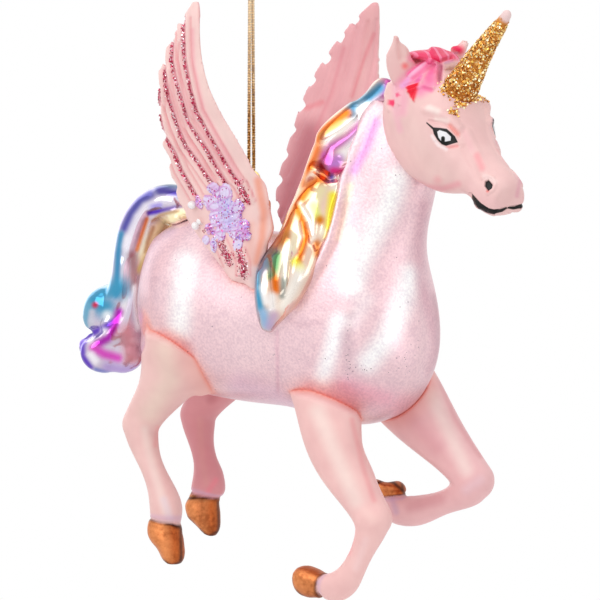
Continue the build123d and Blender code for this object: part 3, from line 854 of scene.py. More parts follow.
# Wings: the near one is modelled, and the far one is its mirror image
wingLook = {
    "voxel": 0.42 * mm,
    "base": (250, 212, 207),
    "nudges": [
        ([(262, 186), (268, 206), (268, 226)], 22, 8, 0),
        ([(240, 290)], 15, 2, -6),
    ],
    "lines": [
        [(183, 17), (183, 40), (184, 60), (190, 90), (196, 112), (208, 134), (215, 146), (231, 173), (241, 187),
         (249, 204)],
        [(172, 43), (171, 60), (175, 80), (181, 100), (188, 123), (198, 138), (208, 153), (219, 173), (227, 186)],
        [(164, 70), (165, 84), (168, 98), (176, 124), (185, 146), (196, 161), (207, 177), (212, 184)],
        [(159, 88), (158, 112), (163, 135), (174, 153), (181, 171), (192, 190), (197, 199)],
    ],
    "tips": [
        [(219, 240), (224, 250), (230, 264)],
        [(238, 250), (243, 262), (243, 276)],
        [(240, 184), (247, 199)],
    ],
    # A quill's groove, the ridges beside it and the outer grooves: shift and reach in pixels, height in mm
    "quill": [(0, 3.4, -0.46), (4.6, 2.2, 0.34), (-4.2, 2.2, 0.34), (7.2, 1.6, -0.26), (-6.8, 1.6, -0.26)],
    "tipRidge": (5, 0.35),
    "outerEdge": (-0.1, 0.25),
    "quillPaint": (3.4, (214, 106, 130), 0.7),
    "quillEdges": (-7.0, 7.4),
    "quillEdgePaint": (2.0, (236, 146, 152), 0.55),
    "outerCuts": [([(203, 28), (205, 74), (219, 114), (240, 148), (256, 178), (261, 215)], 8, 0.35)],
    "outerStrokes": [
        ([(200, 30), (202, 70), (214, 112), (234, 148), (250, 176), (256, 210)], 9, (248, 214, 208), 0.8),
        ([(192, 30), (193, 65), (203, 110), (222, 145), (242, 182)], 4, (248, 176, 184), 0.7),
        ([(178, 60), (184, 95), (200, 130), (224, 168)], 4, (244, 182, 188), 0.5),
        ([(168, 80), (178, 122), (197, 155), (214, 180)], 4, (246, 178, 184), 0.5),
        ([(258, 180), (264, 212), (262, 238), (256, 262)], 7, (250, 166, 140), 0.85),
        ([(252, 225), (250, 262)], 8, (248, 190, 176), 0.6),
        ([(201, 8), (202, 26)], 4, (250, 150, 146), 0.7),
        ([(238, 200), (246, 240)], 8, (246, 196, 192), 0.6),
    ],
    "innerBase": (236, 176, 180),
    "innerStrokes": [
        ([(372, 14), (366, 60), (352, 105)], 12, (232, 178, 178), 0.8),
        # The darker rose low on the inner face, beside the body and the mane, is painted shade.
        ([(310, 135), (296, 175), (284, 215), (282, 240)], 26, (180, 100, 112), 0.8),
        ([(345, 120), (325, 160)], 20, (192, 112, 124), 0.6),
        ([(374, 34), (362, 64), (352, 96)], 3.5, (228, 128, 138), 0.55),
        ([(344, 48), (332, 92), (316, 130)], 4, (226, 130, 142), 0.4),
        ([(306, 108), (322, 102)], 5, (232, 120, 130), 0.5),
    ],
    "innerCuts": [
        ([(377, 20), (374, 60), (364, 104), (345, 148), (320, 190), (296, 228)], 3, -0.34),
        ([(368, 22), (360, 66), (346, 112), (324, 156), (300, 196), (286, 226)], 3, -0.34),
        ([(356, 28), (346, 70), (330, 112), (309, 152), (290, 190), (281, 218)], 3, -0.34),
        ([(342, 36), (332, 76), (317, 112), (300, 146), (286, 176)], 3, -0.30),
        ([(330, 56), (320, 86), (308, 112), (296, 138)], 3, -0.26),
        ([(372, 20), (366, 64), (354, 108), (334, 152), (310, 194)], 2, 0.16),
        ([(362, 26), (352, 68), (338, 112), (316, 154), (294, 194)], 2, 0.16),
        ([(350, 32), (340, 72), (324, 112), (305, 150), (288, 184)], 2, 0.16),
    ],
    "flakes": {
        "seed": 5,
        "radius": (0.12 * mm, 0.21 * mm),
        "thickness": 0.05 * mm,
        "tilt": 0.55,
        "lift": 0.05 * mm,
        "colors": [
            (176, 42, 74), (200, 60, 92), (214, 86, 116), (150, 30, 60), (228, 128, 150), (250, 214, 224),
            (255, 246, 248), (190, 52, 88),
        ],
    },
}


def offsetLine(line, shift):
    # The same line moved sideways in the photograph
    moved = []
    for index, (x, y) in enumerate(line):
        before = line[max(index - 1, 0)]
        after = line[min(index + 1, len(line) - 1)]
        way = Vector((after[0] - before[0], after[1] - before[1])).normalized()
        moved.append((x + way.y * shift, y - way.x * shift))
    return moved


def makeNearWing():
    piece = evenCopy("rightWingPiece", mergedCopy("right_wing"), wingLook["voxel"])
    setCoords(piece.data, nudged(coordsOf(piece.data), wingLook["nudges"]))
    places, normals = coordsOf(piece.data), normalsOf(piece.data)
    outer = step(-normals[:, 1], *wingLook["outerEdge"])
    pixels, farPixels = seenAt(places), seenAt(mirrored(places))
    cuts = []
    for line in wingLook["lines"]:
        cuts += [(offsetLine(line, shift), reach, height) for shift, reach, height in wingLook["quill"]]
    cuts += wingLook["outerCuts"] + [(line, *wingLook["tipRidge"]) for line in wingLook["tips"]]
    shaped = carved(places, normals, pixels, cuts, outer)
    shaped = carved(shaped, normals, farPixels, wingLook["innerCuts"], 1 - outer)
    colors = brushed(plain(wingLook["base"], len(places)), pixels, wingLook["outerStrokes"], outer)
    strokes = []
    for line in wingLook["lines"] + wingLook["tips"]:
        strokes += [(offsetLine(line, shift), *wingLook["quillEdgePaint"]) for shift in wingLook["quillEdges"]]
        strokes.append((line, *wingLook["quillPaint"]))
    colors = brushed(colors, pixels, strokes, outer)
    inner = brushed(plain(wingLook["innerBase"], len(places)), farPixels, wingLook["innerStrokes"])
    setCoords(piece.data, shaped)
    paintResin(piece, colors * outer[:, None] + inner * (1 - outer)[:, None])
    return piece


rightWing = makeNearWing()
leftWing = mirrorCopy(rightWing, "leftWingPiece")
finishPiece(rightWing, "figure", [paintedResin], ["right_wing"])
finishPiece(leftWing, "figure", [paintedResin], ["left_wing"])
wingTree = treeOf(rightWing.data)
print("wings ready")

# Flower of overlapping petals on each wing: middle in pixels, length and width in mm, turn in degrees
flowerLook = {
    "petals": [
        (213, 188, 4.4, 2.6, 35), (226, 193, 5.4, 3.6, 80), (238, 207, 5.2, 3.0, 60), (226, 207, 6.0, 5.0, 20),
        (229, 222, 6.6, 5.2, 5), (217, 218, 5.2, 4.2, 20), (210, 203, 4.6, 3.8, -10), (199, 202, 3.4, 2.2, -35),
        (244, 226, 3.8, 2.8, 65), (246, 235, 3.2, 2.6, 0), (220, 234, 4.8, 3.2, 60), (214, 245, 4.4, 2.2, 80),
        (238, 243, 4.8, 2.6, 75), (206, 240, 3.6, 2.0, 50), (210, 229, 3.4, 2.8, 10), (235, 231, 4.6, 3.6, 30),
        (219, 198, 4.2, 3.6, 50), (236, 216, 4.0, 3.2, 70),
    ],
    "rise": 0.5,
    "drawnIn": 0.8,
    "rim": (1.2, 0.16),
    "vein": (1.6, -0.20),  # reach in pixels, height in mm
    "rimStrength": 0.6,
    "base": (232, 220, 250),
    "rimColor": (214, 128, 204),
    "strokes": [
        ([(226, 205), (228, 222)], 12, (200, 200, 248), 0.7),
        ([(199, 202)], 7, (226, 140, 200), 0.7),
        ([(244, 226), (246, 235)], 7, (220, 150, 220), 0.7),
        ([(209, 229)], 6, (230, 90, 120), 0.7),
        ([(214, 188)], 7, (226, 160, 220), 0.6),
    ],
    "voxel": 0.2 * mm,
    "flakes": {
        "seed": 8,
        "radius": (0.12 * mm, 0.20 * mm),
        "thickness": 0.05 * mm,
        "tilt": 0.6,
        "lift": 0.05 * mm,
        "colors": [
            (214, 120, 214), (196, 150, 235), (240, 190, 245), (222, 96, 170), (180, 170, 250), (255, 250, 255),
            (205, 70, 130),
        ],
    },
    "flakeStrokes": [
        ([(207, 186), (214, 194), (222, 200)], 1.6, 2.0),
        ([(232, 190), (243, 205), (241, 216)], 1.2, 3.0),
        ([(239, 218), (249, 226), (250, 238), (243, 240)], 1.8, 4.0),
        ([(196, 198), (202, 206)], 1.8, 4.0),
        ([(224, 236), (232, 240), (240, 236)], 1.6, 3.0),
        ([(203, 232), (210, 226), (214, 236)], 1.2, 3.0),
        ([(214, 240), (217, 252)], 1.4, 2.0),
        ([(212, 192), (238, 208), (214, 222), (242, 232), (222, 244)], 5.0, 1.6),
    ],
    "red": [
        (wingLook["tips"][0], 2.2, 9.0),
        (wingLook["tips"][1], 2.4, 9.0),
        ([(238, 182), (247, 200)], 1.8, 8.0),
        ([(203, 232), (209, 227), (214, 232)], 1.0, 4.0),
    ],
}


def makeFlower():
    bm = bmesh.new()
    for x, y, length, width, angle in flowerLook["petals"]:
        place, normal = onSurface(wingTree, (x, y))
        if place is None:
            continue
        level = (viewRight - normal * viewRight.dot(normal)).normalized()
        turned = framed((level, normal.cross(level), normal), place) @ Matrix.Rotation(math.radians(angle), 4, "Z")
        size = Matrix.Diagonal((length / 2 * mm, width / 2 * mm, flowerLook["rise"] * mm, 1))
        bmesh.ops.create_uvsphere(bm, u_segments=20, v_segments=12, radius=1, matrix=turned @ size)
    piece = evenCopy("rightFlower", bm, flowerLook["voxel"], 2)
    places, normals = coordsOf(piece.data), normalsOf(piece.data)
    pixels = seenAt(places)
    colors = plain(flowerLook["base"], len(places))
    shift = np.zeros(len(places))
    # Pixels in a millimetre of petal, drawn in from its outline
    perMm = flowerLook["drawnIn"] * mm / photo["pixel"]
    (rimReach, rimHeight), (veinReach, veinHeight) = flowerLook["rim"], flowerLook["vein"]
    for x, y, length, width, angle in flowerLook["petals"]:
        reach = length / 2 * perMm
        way = Vector((math.cos(math.radians(angle)), -math.sin(math.radians(angle)))) * reach
        gap = nearLine(pixels, [(x - way.x, y - way.y), (x + way.x, y + way.y)])
        rim = soft(np.abs(gap - width / 2 * perMm), rimReach)
        shift += (rim * rimHeight + soft(gap, veinReach) * veinHeight) * mm
        colors = blended(colors, flowerLook["rimColor"], rim * flowerLook["rimStrength"])
    setCoords(piece.data, places + normals * shift[:, None])
    paintResin(piece, brushed(colors, pixels, flowerLook["strokes"]), gloss=0.4)
    return piece


rightFlower = makeFlower()
leftFlower = mirrorCopy(rightFlower, "leftFlower")
finishPiece(rightFlower, "figure", [paintedResin], ["right_wing_flower"])
finishPiece(leftFlower, "figure", [paintedResin], ["left_wing_flower"])

lineStrokes = [(line, 0.85, 3.2) for line in wingLook["lines"]]
redSpots = pixelSpots(wingTree, lineStrokes + flowerLook["red"], 3)
lilacSpots = pixelSpots(treeOf(rightFlower.data), flowerLook["flakeStrokes"], 4)
glitterPiece("rightWingGlitter", redSpots, wingLook["flakes"])
glitterPiece("leftWingGlitter", mirroredSpots(redSpots), wingLook["flakes"])
glitterPiece("rightFlowerGlitter", lilacSpots, flowerLook["flakes"])
glitterPiece("leftFlowerGlitter", mirroredSpots(lilacSpots), flowerLook["flakes"])
print("wing glitter ready:", len(redSpots), len(lilacSpots))

# Mane and tail: grooved and swollen by lines of the photograph, lacquered in rainbow colours, with painted highlights
glassTree = treeOf(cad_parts["glass_body"].data)
glassLook = {
    "voxel": 0.42 * mm,
    "cutReach": 1.35,
    "strokeReach": 1.45,
    "strokeFull": 0.06,
    "deepening": 1.35,
    "frostColor": (246, 216, 218),
    "frostStrength": 0.75,
    "lobeDepth": 0.8,
    "lobeSink": 0.55,
}
maneLook = {
    "frost": 1.5,
    "matte": [([(333, 196), (331, 215), (329, 236)], 7, 0.6), ([(298, 262), (290, 292)], 8, 0.4)],
    "smoothing": 10,
    "lobes": [],
    "base": (240, 214, 196),
    # Near-white strokes are painted highlights, the lamps' reflections in the mirror glass; the coloured ones are
    # lacquer.
    "strokes": [
        ([(390, 80), (387, 96), (384, 116)], 9, (196, 84, 164), 1.0),
        ([(380, 88), (369, 97), (356, 104), (350, 111)], 7, (86, 144, 174), 1.0),
        ([(378, 104), (374, 116)], 6, (198, 166, 208), 0.8),
        ([(364, 109)], 8, (255, 255, 255), 0.75),
        ([(351, 114), (355, 117)], 5, (108, 124, 140), 0.8),
        ([(346, 113), (338, 119), (326, 127), (315, 135)], 5.5, (232, 132, 38), 1.0),
        ([(340, 124), (326, 133), (318, 138)], 4, (222, 180, 118), 0.8),
        ([(358, 120), (344, 129), (328, 139)], 4.5, (255, 253, 250), 0.75),
        ([(374, 114), (362, 125), (348, 139), (332, 147)], 6.5, (206, 132, 190), 1.0),
        ([(366, 131), (355, 142), (343, 154)], 6.5, (255, 253, 255), 0.75),
        ([(377, 126), (372, 140), (364, 154)], 5, (232, 140, 216), 0.9),
        ([(325, 156), (331, 164)], 9, (214, 118, 188), 1.0),
        ([(338, 160), (332, 170)], 7, (206, 150, 216), 0.9),
        ([(364, 152), (356, 162), (350, 170)], 6, (188, 104, 226), 1.0),
        ([(333, 171), (343, 172), (350, 171)], 4.5, (224, 66, 146), 1.0),
        ([(321, 166), (325, 173)], 5, (156, 22, 52), 1.0),
        ([(326, 177), (331, 177)], 4, (120, 84, 182), 1.0),
        ([(315, 140), (316, 150), (312, 162), (307, 173), (300, 182)], 6, (240, 140, 48), 1.0),
        ([(312, 175), (309, 179)], 4.5, (255, 250, 240), 0.68),
        ([(323, 178), (311, 185), (303, 196), (296, 208)], 6.5, (236, 138, 42), 1.0),
        ([(340, 181), (337, 190)], 7, (252, 250, 240), 0.68),
        ([(321, 190), (312, 205)], 7, (242, 232, 192), 0.9),
        ([(333, 196), (331, 215), (329, 236)], 5.5, (252, 238, 72), 1.0),
        ([(314, 206), (317, 216)], 5, (232, 242, 140), 0.8),
        ([(320, 220)], 5, (226, 148, 30), 1.0),
        ([(322, 232)], 5, (250, 244, 226), 0.8),
        ([(300, 204), (308, 216), (312, 230), (313, 240)], 3.6, (254, 252, 244), 0.68),
        ([(297, 208), (303, 222), (307, 236), (303, 246), (298, 262)], 4.2, (238, 138, 36), 1.0),
        ([(317, 244), (318, 254)], 5, (224, 140, 64), 0.9),
        ([(291, 208), (288, 226), (282, 240)], 5.5, (226, 152, 80), 1.0),
        ([(296, 226), (293, 250)], 4.5, (242, 232, 204), 0.9),
        ([(286, 236), (278, 246), (270, 252)], 5, (196, 136, 76), 0.8),
        ([(295, 262), (300, 268)], 5, (250, 240, 90), 0.9),
        ([(300, 272), (292, 290), (284, 306)], 8, (253, 252, 246), 0.75),
        ([(288, 246), (285, 262), (284, 284)], 4, (250, 248, 232), 0.8),
        ([(264, 260), (258, 270)], 9, (140, 156, 186), 0.9),
        ([(272, 252), (270, 264)], 6, (128, 150, 160), 0.8),
        ([(277, 256), (275, 268), (272, 276)], 5.5, (96, 158, 104), 0.9),
        ([(269, 256), (272, 268), (276, 278)], 2.0, (176, 122, 60), 0.8),
        ([(275, 281), (276, 290)], 5, (238, 136, 22), 1.0),
        ([(284, 280), (282, 296)], 3.5, (140, 150, 146), 0.7),
        ([(255, 274), (257, 288), (260, 308)], 5, (88, 174, 208), 1.0),
        ([(262, 288), (266, 302)], 4, (255, 255, 255), 0.75),
        ([(272, 296), (272, 308)], 5, (252, 252, 252), 0.75),
        ([(263, 314), (266, 324)], 7, (170, 202, 230), 1.0),
        ([(274, 316), (270, 326)], 6, (206, 184, 212), 0.8),
    ],
    "cuts": [
        ([(352, 106), (334, 121), (317, 135)], 6, 0.55),
        ([(354, 116), (338, 128), (322, 140)], 4.5, -0.6),
        ([(372, 118), (350, 138), (332, 148)], 6, 0.6),
        ([(368, 132), (354, 146), (341, 157)], 5, -0.5),
        ([(366, 146), (354, 163)], 6, 0.5),
        ([(332, 162)], 15, 0.9),
        ([(313, 168), (321, 172), (329, 178), (346, 176)], 5, -1.5),
        ([(320, 184), (304, 198), (293, 216), (288, 232)], 7, 0.7),
        ([(337, 186), (330, 210), (326, 236)], 7, 0.6),
        ([(312, 192), (300, 206), (308, 220), (311, 240)], 4, -0.7),
        ([(303, 222), (307, 238), (300, 258)], 4, 0.5),
        ([(320, 224), (316, 246)], 4, -0.5),
        ([(290, 236), (286, 262), (284, 290)], 5, -0.7),
        ([(296, 258), (292, 284), (284, 304)], 7, 0.6),
        ([(276, 258), (275, 284)], 7, 0.6),
        ([(268, 262), (268, 290), (270, 308)], 4, -0.7),
        ([(260, 272), (260, 296), (263, 316)], 5, 0.5),
    ],
}
tailLook = {
    "frost": 0.6,
    "matte": [
        ([(182, 213), (165, 221), (154, 232), (146, 252), (141, 270)], 12, 0.85),
        ([(129, 336), (132, 356)], 13, 0.85),
    ],
    "smoothing": 24,
    "lobes": [
        (102, 311, 20, 25, -20),
        (104, 352, 25, 22, 0),
        (122, 354, 23, 20, 0),
        (112, 330, 14, 16, 0),
    ],
    "base": (222, 212, 226),
    # Near-white strokes are painted highlights, the lamps' reflections in the mirror glass; the coloured ones are
    # lacquer.
    "strokes": [
        ([(188, 184), (172, 185), (160, 188)], 6, (88, 128, 172), 1.0),
        ([(150, 194), (140, 201), (131, 214), (125, 228)], 6, (112, 108, 186), 1.0),
        ([(121, 234), (118, 254), (117, 276), (116, 294)], 4, (92, 166, 204), 1.0),
        ([(128, 240), (126, 262), (124, 284)], 4.5, (238, 238, 246), 0.8),
        ([(160, 190), (174, 193), (188, 198)], 5, (84, 54, 172), 1.0),
        ([(184, 200), (165, 199), (152, 205)], 5, (250, 246, 255), 0.75),
        ([(160, 205), (150, 207)], 3, (190, 178, 242), 0.9),
        ([(146, 207), (138, 217), (131, 233), (127, 246)], 5.5, (252, 248, 255), 0.75),
        ([(184, 206), (166, 210), (149, 213)], 2.8, (112, 72, 202), 1.0),
        ([(182, 214), (168, 220), (156, 232), (149, 246), (144, 258)], 9, (255, 244, 206), 1.0),
        ([(178, 211), (160, 215), (152, 221)], 1.8, (206, 166, 114), 0.7),
        ([(153, 228), (148, 242), (146, 252)], 2.6, (190, 148, 104), 0.8),
        ([(171, 227), (162, 237), (156, 248), (150, 262)], 2.6, (246, 186, 66), 1.0),
        ([(147, 219), (142, 234), (137, 250)], 2.4, (236, 150, 80), 0.9),
        ([(151, 254), (146, 264), (141, 270)], 5, (254, 244, 64), 1.0),
        ([(133, 256), (134, 270), (133, 286)], 6, (184, 138, 140), 0.9),
        ([(124, 272), (124, 286)], 3, (228, 222, 232), 0.8),
        ([(126, 298), (121, 318), (113, 338)], 3.2, (240, 234, 238), 1.0),
        ([(118, 288), (104, 292), (94, 300), (104, 306)], 13, (92, 174, 206), 1.0),
        ([(88, 306), (84, 322), (88, 332)], 5, (132, 190, 214), 0.9),
        ([(92, 312), (91, 326)], 3.4, (216, 216, 226), 0.9),
        ([(95, 305)], 3.4, (222, 66, 108), 1.0),
        ([(107, 315)], 5.5, (255, 255, 255), 0.75),
        ([(114, 322), (104, 328), (90, 334), (82, 344), (82, 356), (90, 367)], 4, (124, 84, 204), 1.0),
        ([(119, 312), (115, 326), (108, 338), (98, 344)], 5, (192, 62, 192), 1.0),
        ([(104, 331)], 4.5, (255, 250, 255), 0.75),
        ([(90, 341)], 3.8, (255, 252, 255), 0.75),
        ([(94, 348), (104, 354), (118, 358)], 5.5, (224, 108, 204), 1.0),
        ([(91, 355), (95, 361)], 4.5, (255, 252, 255), 0.75),
        ([(128, 332), (131, 345), (133, 358)], 10, (228, 176, 186), 0.95),
        ([(136, 288), (137, 305), (139, 328)], 4, (255, 252, 255), 1.0),
        ([(108, 368), (124, 371), (140, 371)], 7, (206, 186, 230), 1.0),
        ([(96, 370), (112, 375), (140, 378)], 3, (152, 156, 214), 1.0),
    ],
    "cuts": [
        ([(184, 194), (156, 200), (136, 220), (127, 246)], 7, 0.6),
        ([(188, 206), (166, 210), (148, 213)], 4, -0.9),
        ([(147, 218), (140, 240), (134, 256)], 4, -0.7),
        ([(178, 216), (158, 232), (148, 254)], 7, 0.6),
        ([(130, 262), (127, 296), (116, 330)], 4.5, -0.9),
        ([(122, 262), (121, 292)], 5, 0.4),
        ([(101, 302)], 14, 0.7),
        ([(93, 306), (92, 328)], 3.5, -0.4),
        ([(120, 304), (112, 322), (98, 331), (84, 336)], 4.5, -1.2),
        ([(116, 322), (106, 338), (92, 349)], 6, 0.5),
        ([(106, 345), (98, 353)], 4, -0.35),
    ],
}


def addLobe(bm, tree, x, y, across, down, angle):
    # A blown bulge, drawn in the plane of the photograph
    place, _ = onSurface(tree, (x, y))
    if place is None:
        place = tree.find_nearest(inPlane(x, y))[0]
    deep = min(across, down) * glassLook["lobeDepth"]
    axes = framed((viewRight, viewUp, viewBack), place - viewBack * deep * glassLook["lobeSink"] * photo["pixel"])
    size = Matrix.Diagonal((across * photo["pixel"], down * photo["pixel"], deep * photo["pixel"], 1))
    turned = axes @ Matrix.Rotation(math.radians(angle), 4, "Z") @ size
    bmesh.ops.create_icosphere(bm, subdivisions=4, radius=1, matrix=turned)


def glassLock(name, node, look):
    bm = mergedCopy(node)
    tree = BVHTree.FromBMesh(bm)
    for lobe in look["lobes"]:
        addLobe(bm, tree, *lobe)
    piece = evenCopy(name, bm, glassLook["voxel"])
    places, normals = coordsOf(piece.data), normalsOf(piece.data)
    cuts = [(line, reach * glassLook["cutReach"], height) for line, reach, height in look["cuts"]]
    setCoords(piece.data, carved(places, normals, seenAt(places), cuts))
    smoothed(piece, look["smoothing"])
    places = coordsOf(piece.data)
    pixels = seenAt(places)
    # The strokes give the lacquer's colours and its painted highlights.
    strokes = [(line, reach * glassLook["strokeReach"], *rest) for line, reach, *rest in look["strokes"]]
    colors = brushed(plain(look["base"], len(pixels)), pixels, strokes, full=glassLook["strokeFull"])
    # Metal colours come out paler than the paint, so they are deepened here.
    colors = colors ** glassLook["deepening"]
    frost = soft(gapTo(glassTree, places), look["frost"] * mm)
    colors = blended(colors, glassLook["frostColor"], frost * glassLook["frostStrength"])
    for line, reach, amount in look["matte"]:
        frost = np.maximum(frost, closeTo(pixels, line, reach) * amount)
    paint(piece, "colourAndPaintedLight", colors)
    paintMask(piece, "frost", frost)
    finishPiece(piece, "figure", [rainbowGlass], [node])


glassLock("manePiece", "mane", maneLook)
glassLock("tailPiece", "tail", tailLook)
print("mane and tail ready")

# Head: nose direction and middle come from the CAD, and each cheek is read at the near cheek's pixels.
headLook = {
    "voxel": 0.4 * mm,
    "middle": (53.34 * mm, -2.69 * mm, -19.59 * mm),
    "yaw": 14,
    "roll": 0.28,
    "fine": [(384, 44, 462, 110), (422, 116, 462, 150), (481, 176, 497, 194), (466, 190, 512, 216)],
    "base": (242, 200, 197),
    "nudges": [
        ([(386, 40)], 18, 4, 1),
        ([(387, 33)], 7, 3, 3),
        ([(470, 35)], 10, -4, 6),
        ([(486, 98), (491, 108)], 10, 4, 0),
        ([(492, 120)], 6, 4, 0),
        ([(480, 218), (496, 224), (510, 220)], 13, 0, -6),
    ],
    "forelockTop": -1.0 * mm,
    "forelockSide": (5.5 * mm, 7.0 * mm),
    "forelockPress": 0.55,
    "farEarSide": (6 * mm, 8 * mm),
    "farEarFoot": (-3 * mm, 0),
    "farEarMiddle": 0.5 * mm,
    "farEarWiden": 1.7,
    "farEarForward": 1.0 * mm,
    "crownFoot": (-1.2 * mm, 0.2 * mm),
    "crownSide": (5.0 * mm, 6.4 * mm),
    "crownColor": (232, 48, 98),
    "crownStrength": 0.9,
    "foldColor": (250, 150, 184),
    "foldStrength": 0.7,
    "foldTurns": (0.9, 2.6),
    "foldEdge": (0.35, 0.9),
    "facingEdge": (-0.5, -0.2),
    "cheekEdge": (0.05, 0.25),
    "pupilEdge": (-2.2, -1.6),
    "inkGloss": 0.4,
    "ink": (5, 3, 4),
    "eyeWhite": (236, 236, 240),
    "mirrored": [
        ([(404, 120), (425, 150), (440, 170)], 26, (240, 206, 200), 0.6),
        ([(409, 180), (425, 187), (442, 189), (458, 184)], 6, (240, 164, 172), 0.7),
        ([(438, 180)], 8, (244, 170, 174), 0.6),
        ([(470, 186), (480, 198), (500, 206)], 8, (242, 196, 196), 0.5),
        ([(477, 156), (482, 168)], 6, (248, 160, 166), 0.7),
        ([(464, 132), (472, 150)], 5, (246, 196, 198), 0.6),
        # Pale strokes on the brow and under the eye are painted highlights.
        ([(430, 108), (438, 112)], 6, (250, 236, 228), 0.8),
        ([(436, 119), (448, 121)], 4, (250, 228, 220), 0.7),
        ([(450, 126), (458, 134)], 4, (250, 160, 150), 0.75),
        ([(447, 147), (457, 146)], 3, (250, 160, 158), 0.7),
        ([(432, 136), (438, 145), (446, 149)], 3, (252, 240, 240), 0.8),
        ([(488, 191)], 3.2, (240, 96, 90), 0.8),
        ([(484, 176), (495, 182)], 5, (250, 226, 222), 0.5),
        ([(404, 44), (402, 60)], 9, (242, 206, 200), 0.6),
        ([(405, 66)], 6, (252, 122, 122), 0.85),
    ],
    "facing": [
        # Darker strokes along the far outline of the forehead and muzzle are painted shade.
        ([(492, 98), (496, 110), (494, 122)], 6, (206, 168, 184), 0.7),
        ([(499, 142), (512, 162), (520, 180), (517, 196)], 4, (226, 160, 176), 0.6),
        ([(395, 86), (394, 106), (400, 130)], 6, (246, 180, 200), 0.5),
        ([(404, 84), (416, 74), (428, 62), (436, 66), (432, 82), (420, 90)], 12, (250, 150, 186), 1.0),
        ([(398, 88), (404, 98), (402, 112)], 9, (248, 180, 198), 0.8),
        ([(410, 74), (420, 67), (431, 60)], 6.5, (246, 96, 158), 1.0),
        ([(417, 58), (424, 56)], 6, (248, 150, 160), 0.9),
        ([(429, 79), (432, 70)], 8, (250, 118, 166), 1.0),
        ([(436, 70), (436, 84)], 4, (250, 140, 170), 0.8),
        ([(408, 78), (418, 70), (426, 64)], 2.4, (250, 190, 220), 0.9),
        ([(402, 86), (408, 80)], 4.5, (240, 176, 226), 0.8),
        ([(420, 76), (416, 82)], 4, (244, 110, 180), 0.8),
        ([(425, 88), (431, 90)], 4.5, (244, 116, 164), 0.9),
        ([(412, 58), (420, 52), (430, 52)], 8, (250, 150, 176), 1.0),
        ([(430, 50), (438, 44), (450, 45), (460, 50)], 8, (230, 30, 86), 1.0),
        ([(433, 56), (440, 60)], 5.5, (222, 20, 78), 1.0),
        ([(490.6, 123.4), (492.4, 120.6), (494.6, 119)], 1.5, (20, 14, 18), 1.0),
        ([(494, 126)], 3.0, (236, 238, 238), 1.0),
        ([(443, 57), (450, 54), (458, 53)], 2.0, (226, 170, 200), 0.7),
        # A white dot of painted highlight on the forelock
        ([(448.4, 58.7)], 2.0, (255, 255, 255), 1.0),
        ([(446, 62), (452, 60)], 4, (216, 162, 192), 0.9),
        # Painted shadow beside the forelock
        ([(441, 66), (440, 79)], 3.5, (176, 70, 104), 0.8),
        ([(479, 76), (482, 84)], 4, (244, 130, 180), 0.9),
    ],
    "blots": [
        (
            [(406.5, 88), (409, 85.5), (415, 83.5), (419.5, 82.5), (419, 88), (416, 98), (414.5, 102), (410, 97)],
            (242, 34, 62),
        ),
        ([(389, 100), (393, 99.5), (394.5, 103), (392, 106.5), (389, 104.5)], (246, 70, 112)),
        ([(395.5, 93.5), (399, 92.5), (401, 95.5), (398.5, 97.5), (396, 96.5)], (246, 84, 132)),
    ],
    "liner": [
        (426.6, 122.0), (433.5, 127.3), (440, 127.8), (446.8, 128.8), (450.5, 132.0), (455, 136.2), (458, 142.3),
        (452, 144.0), (446.2, 146.0), (441.5, 144.4), (437.3, 139.8), (433.8, 134.2), (432.6, 129.6), (426.2, 123.2),
    ],
    "white": [
        (437.2, 131.8), (439.6, 130.2), (446.4, 132.4), (451.0, 136.8), (450.6, 140.6), (446.0, 141.6),
        (442.6, 142.2), (438.8, 137.2),
    ],
    "pupil": [(443.7, 138.4), (443.3, 142.4)],
    "nostril": [(488.2, 179.4), (492.4, 184.2), (491.6, 188.0), (487.8, 190.8), (484.0, 185.8), (484.8, 181.2)],
    "nostrilDepth": 0.7 * mm,
    "mouth": [
        (469.9, 193.6), (474.5, 198.2), (480.5, 203.4), (486.0, 207.6), (491.5, 209.8), (496.0, 209.2), (501, 209.8),
        (507.6, 207.6), (508.2, 208.8), (502, 212.0), (494.5, 213.8), (487.5, 212.0), (479.5, 208.0), (472.8, 201.8),
    ],
    "cuts": [
        ([(426, 110), (438, 112), (450, 118), (459, 128)], 7, 0.7),
        ([(429, 121), (440, 122.5), (451, 127), (459, 137)], 2.6, -0.35),
        ([(444, 137)], 9, 0.45),
        ([(436, 142), (446, 149.5), (458, 146)], 3, -0.25),
        ([(464, 148), (471, 163), (478, 178)], 6, -0.4),
        ([(468, 132), (480, 156), (487, 170)], 5, 0.3),
        ([(482, 178), (487, 175.5), (493, 178), (495.5, 184), (493, 190), (488, 193.5)], 3, 0.35),
        ([(470, 194), (479, 204), (488, 210), (495, 211.5), (507, 208)], 2.4, -0.45),
        ([(472, 203), (482, 210), (494, 215)], 3, 0.3),
        ([(452, 160), (446, 176)], 10, 0.35),
        ([(400, 42), (402, 58)], 6, -0.5),
        ([(389, 84), (386, 95), (389, 110)], 3, 0.45),
        ([(393, 86), (392, 108)], 3, -0.3),
    ],
    "locks": [
        ([(432, 50), (446, 48), (459, 50)], 5, 0.7),
        ([(430, 56), (440, 61), (452, 57)], 2.6, -0.6),
        ([(409, 75), (420, 67), (432, 60)], 3.5, 0.5),
        ([(412, 79), (422, 72), (434, 65)], 2.4, -0.55),
        ([(424, 80), (434, 76)], 6, 0.4),
        ([(404, 86), (420, 80), (424, 76)], 2.4, -0.4),
        ([(408, 92), (424, 86), (434, 88)], 2.4, 0.4),
        ([(400, 92), (399, 104)], 3.0, 0.4),
        ([(440, 64), (440, 82)], 4, -0.6),
        ([(407, 87), (419, 84), (414, 100)], 3, 0.35),
        ([(486, 94), (491, 106)], 10, 1.0),
        ([(494, 116)], 6, 0.9),
    ],
}


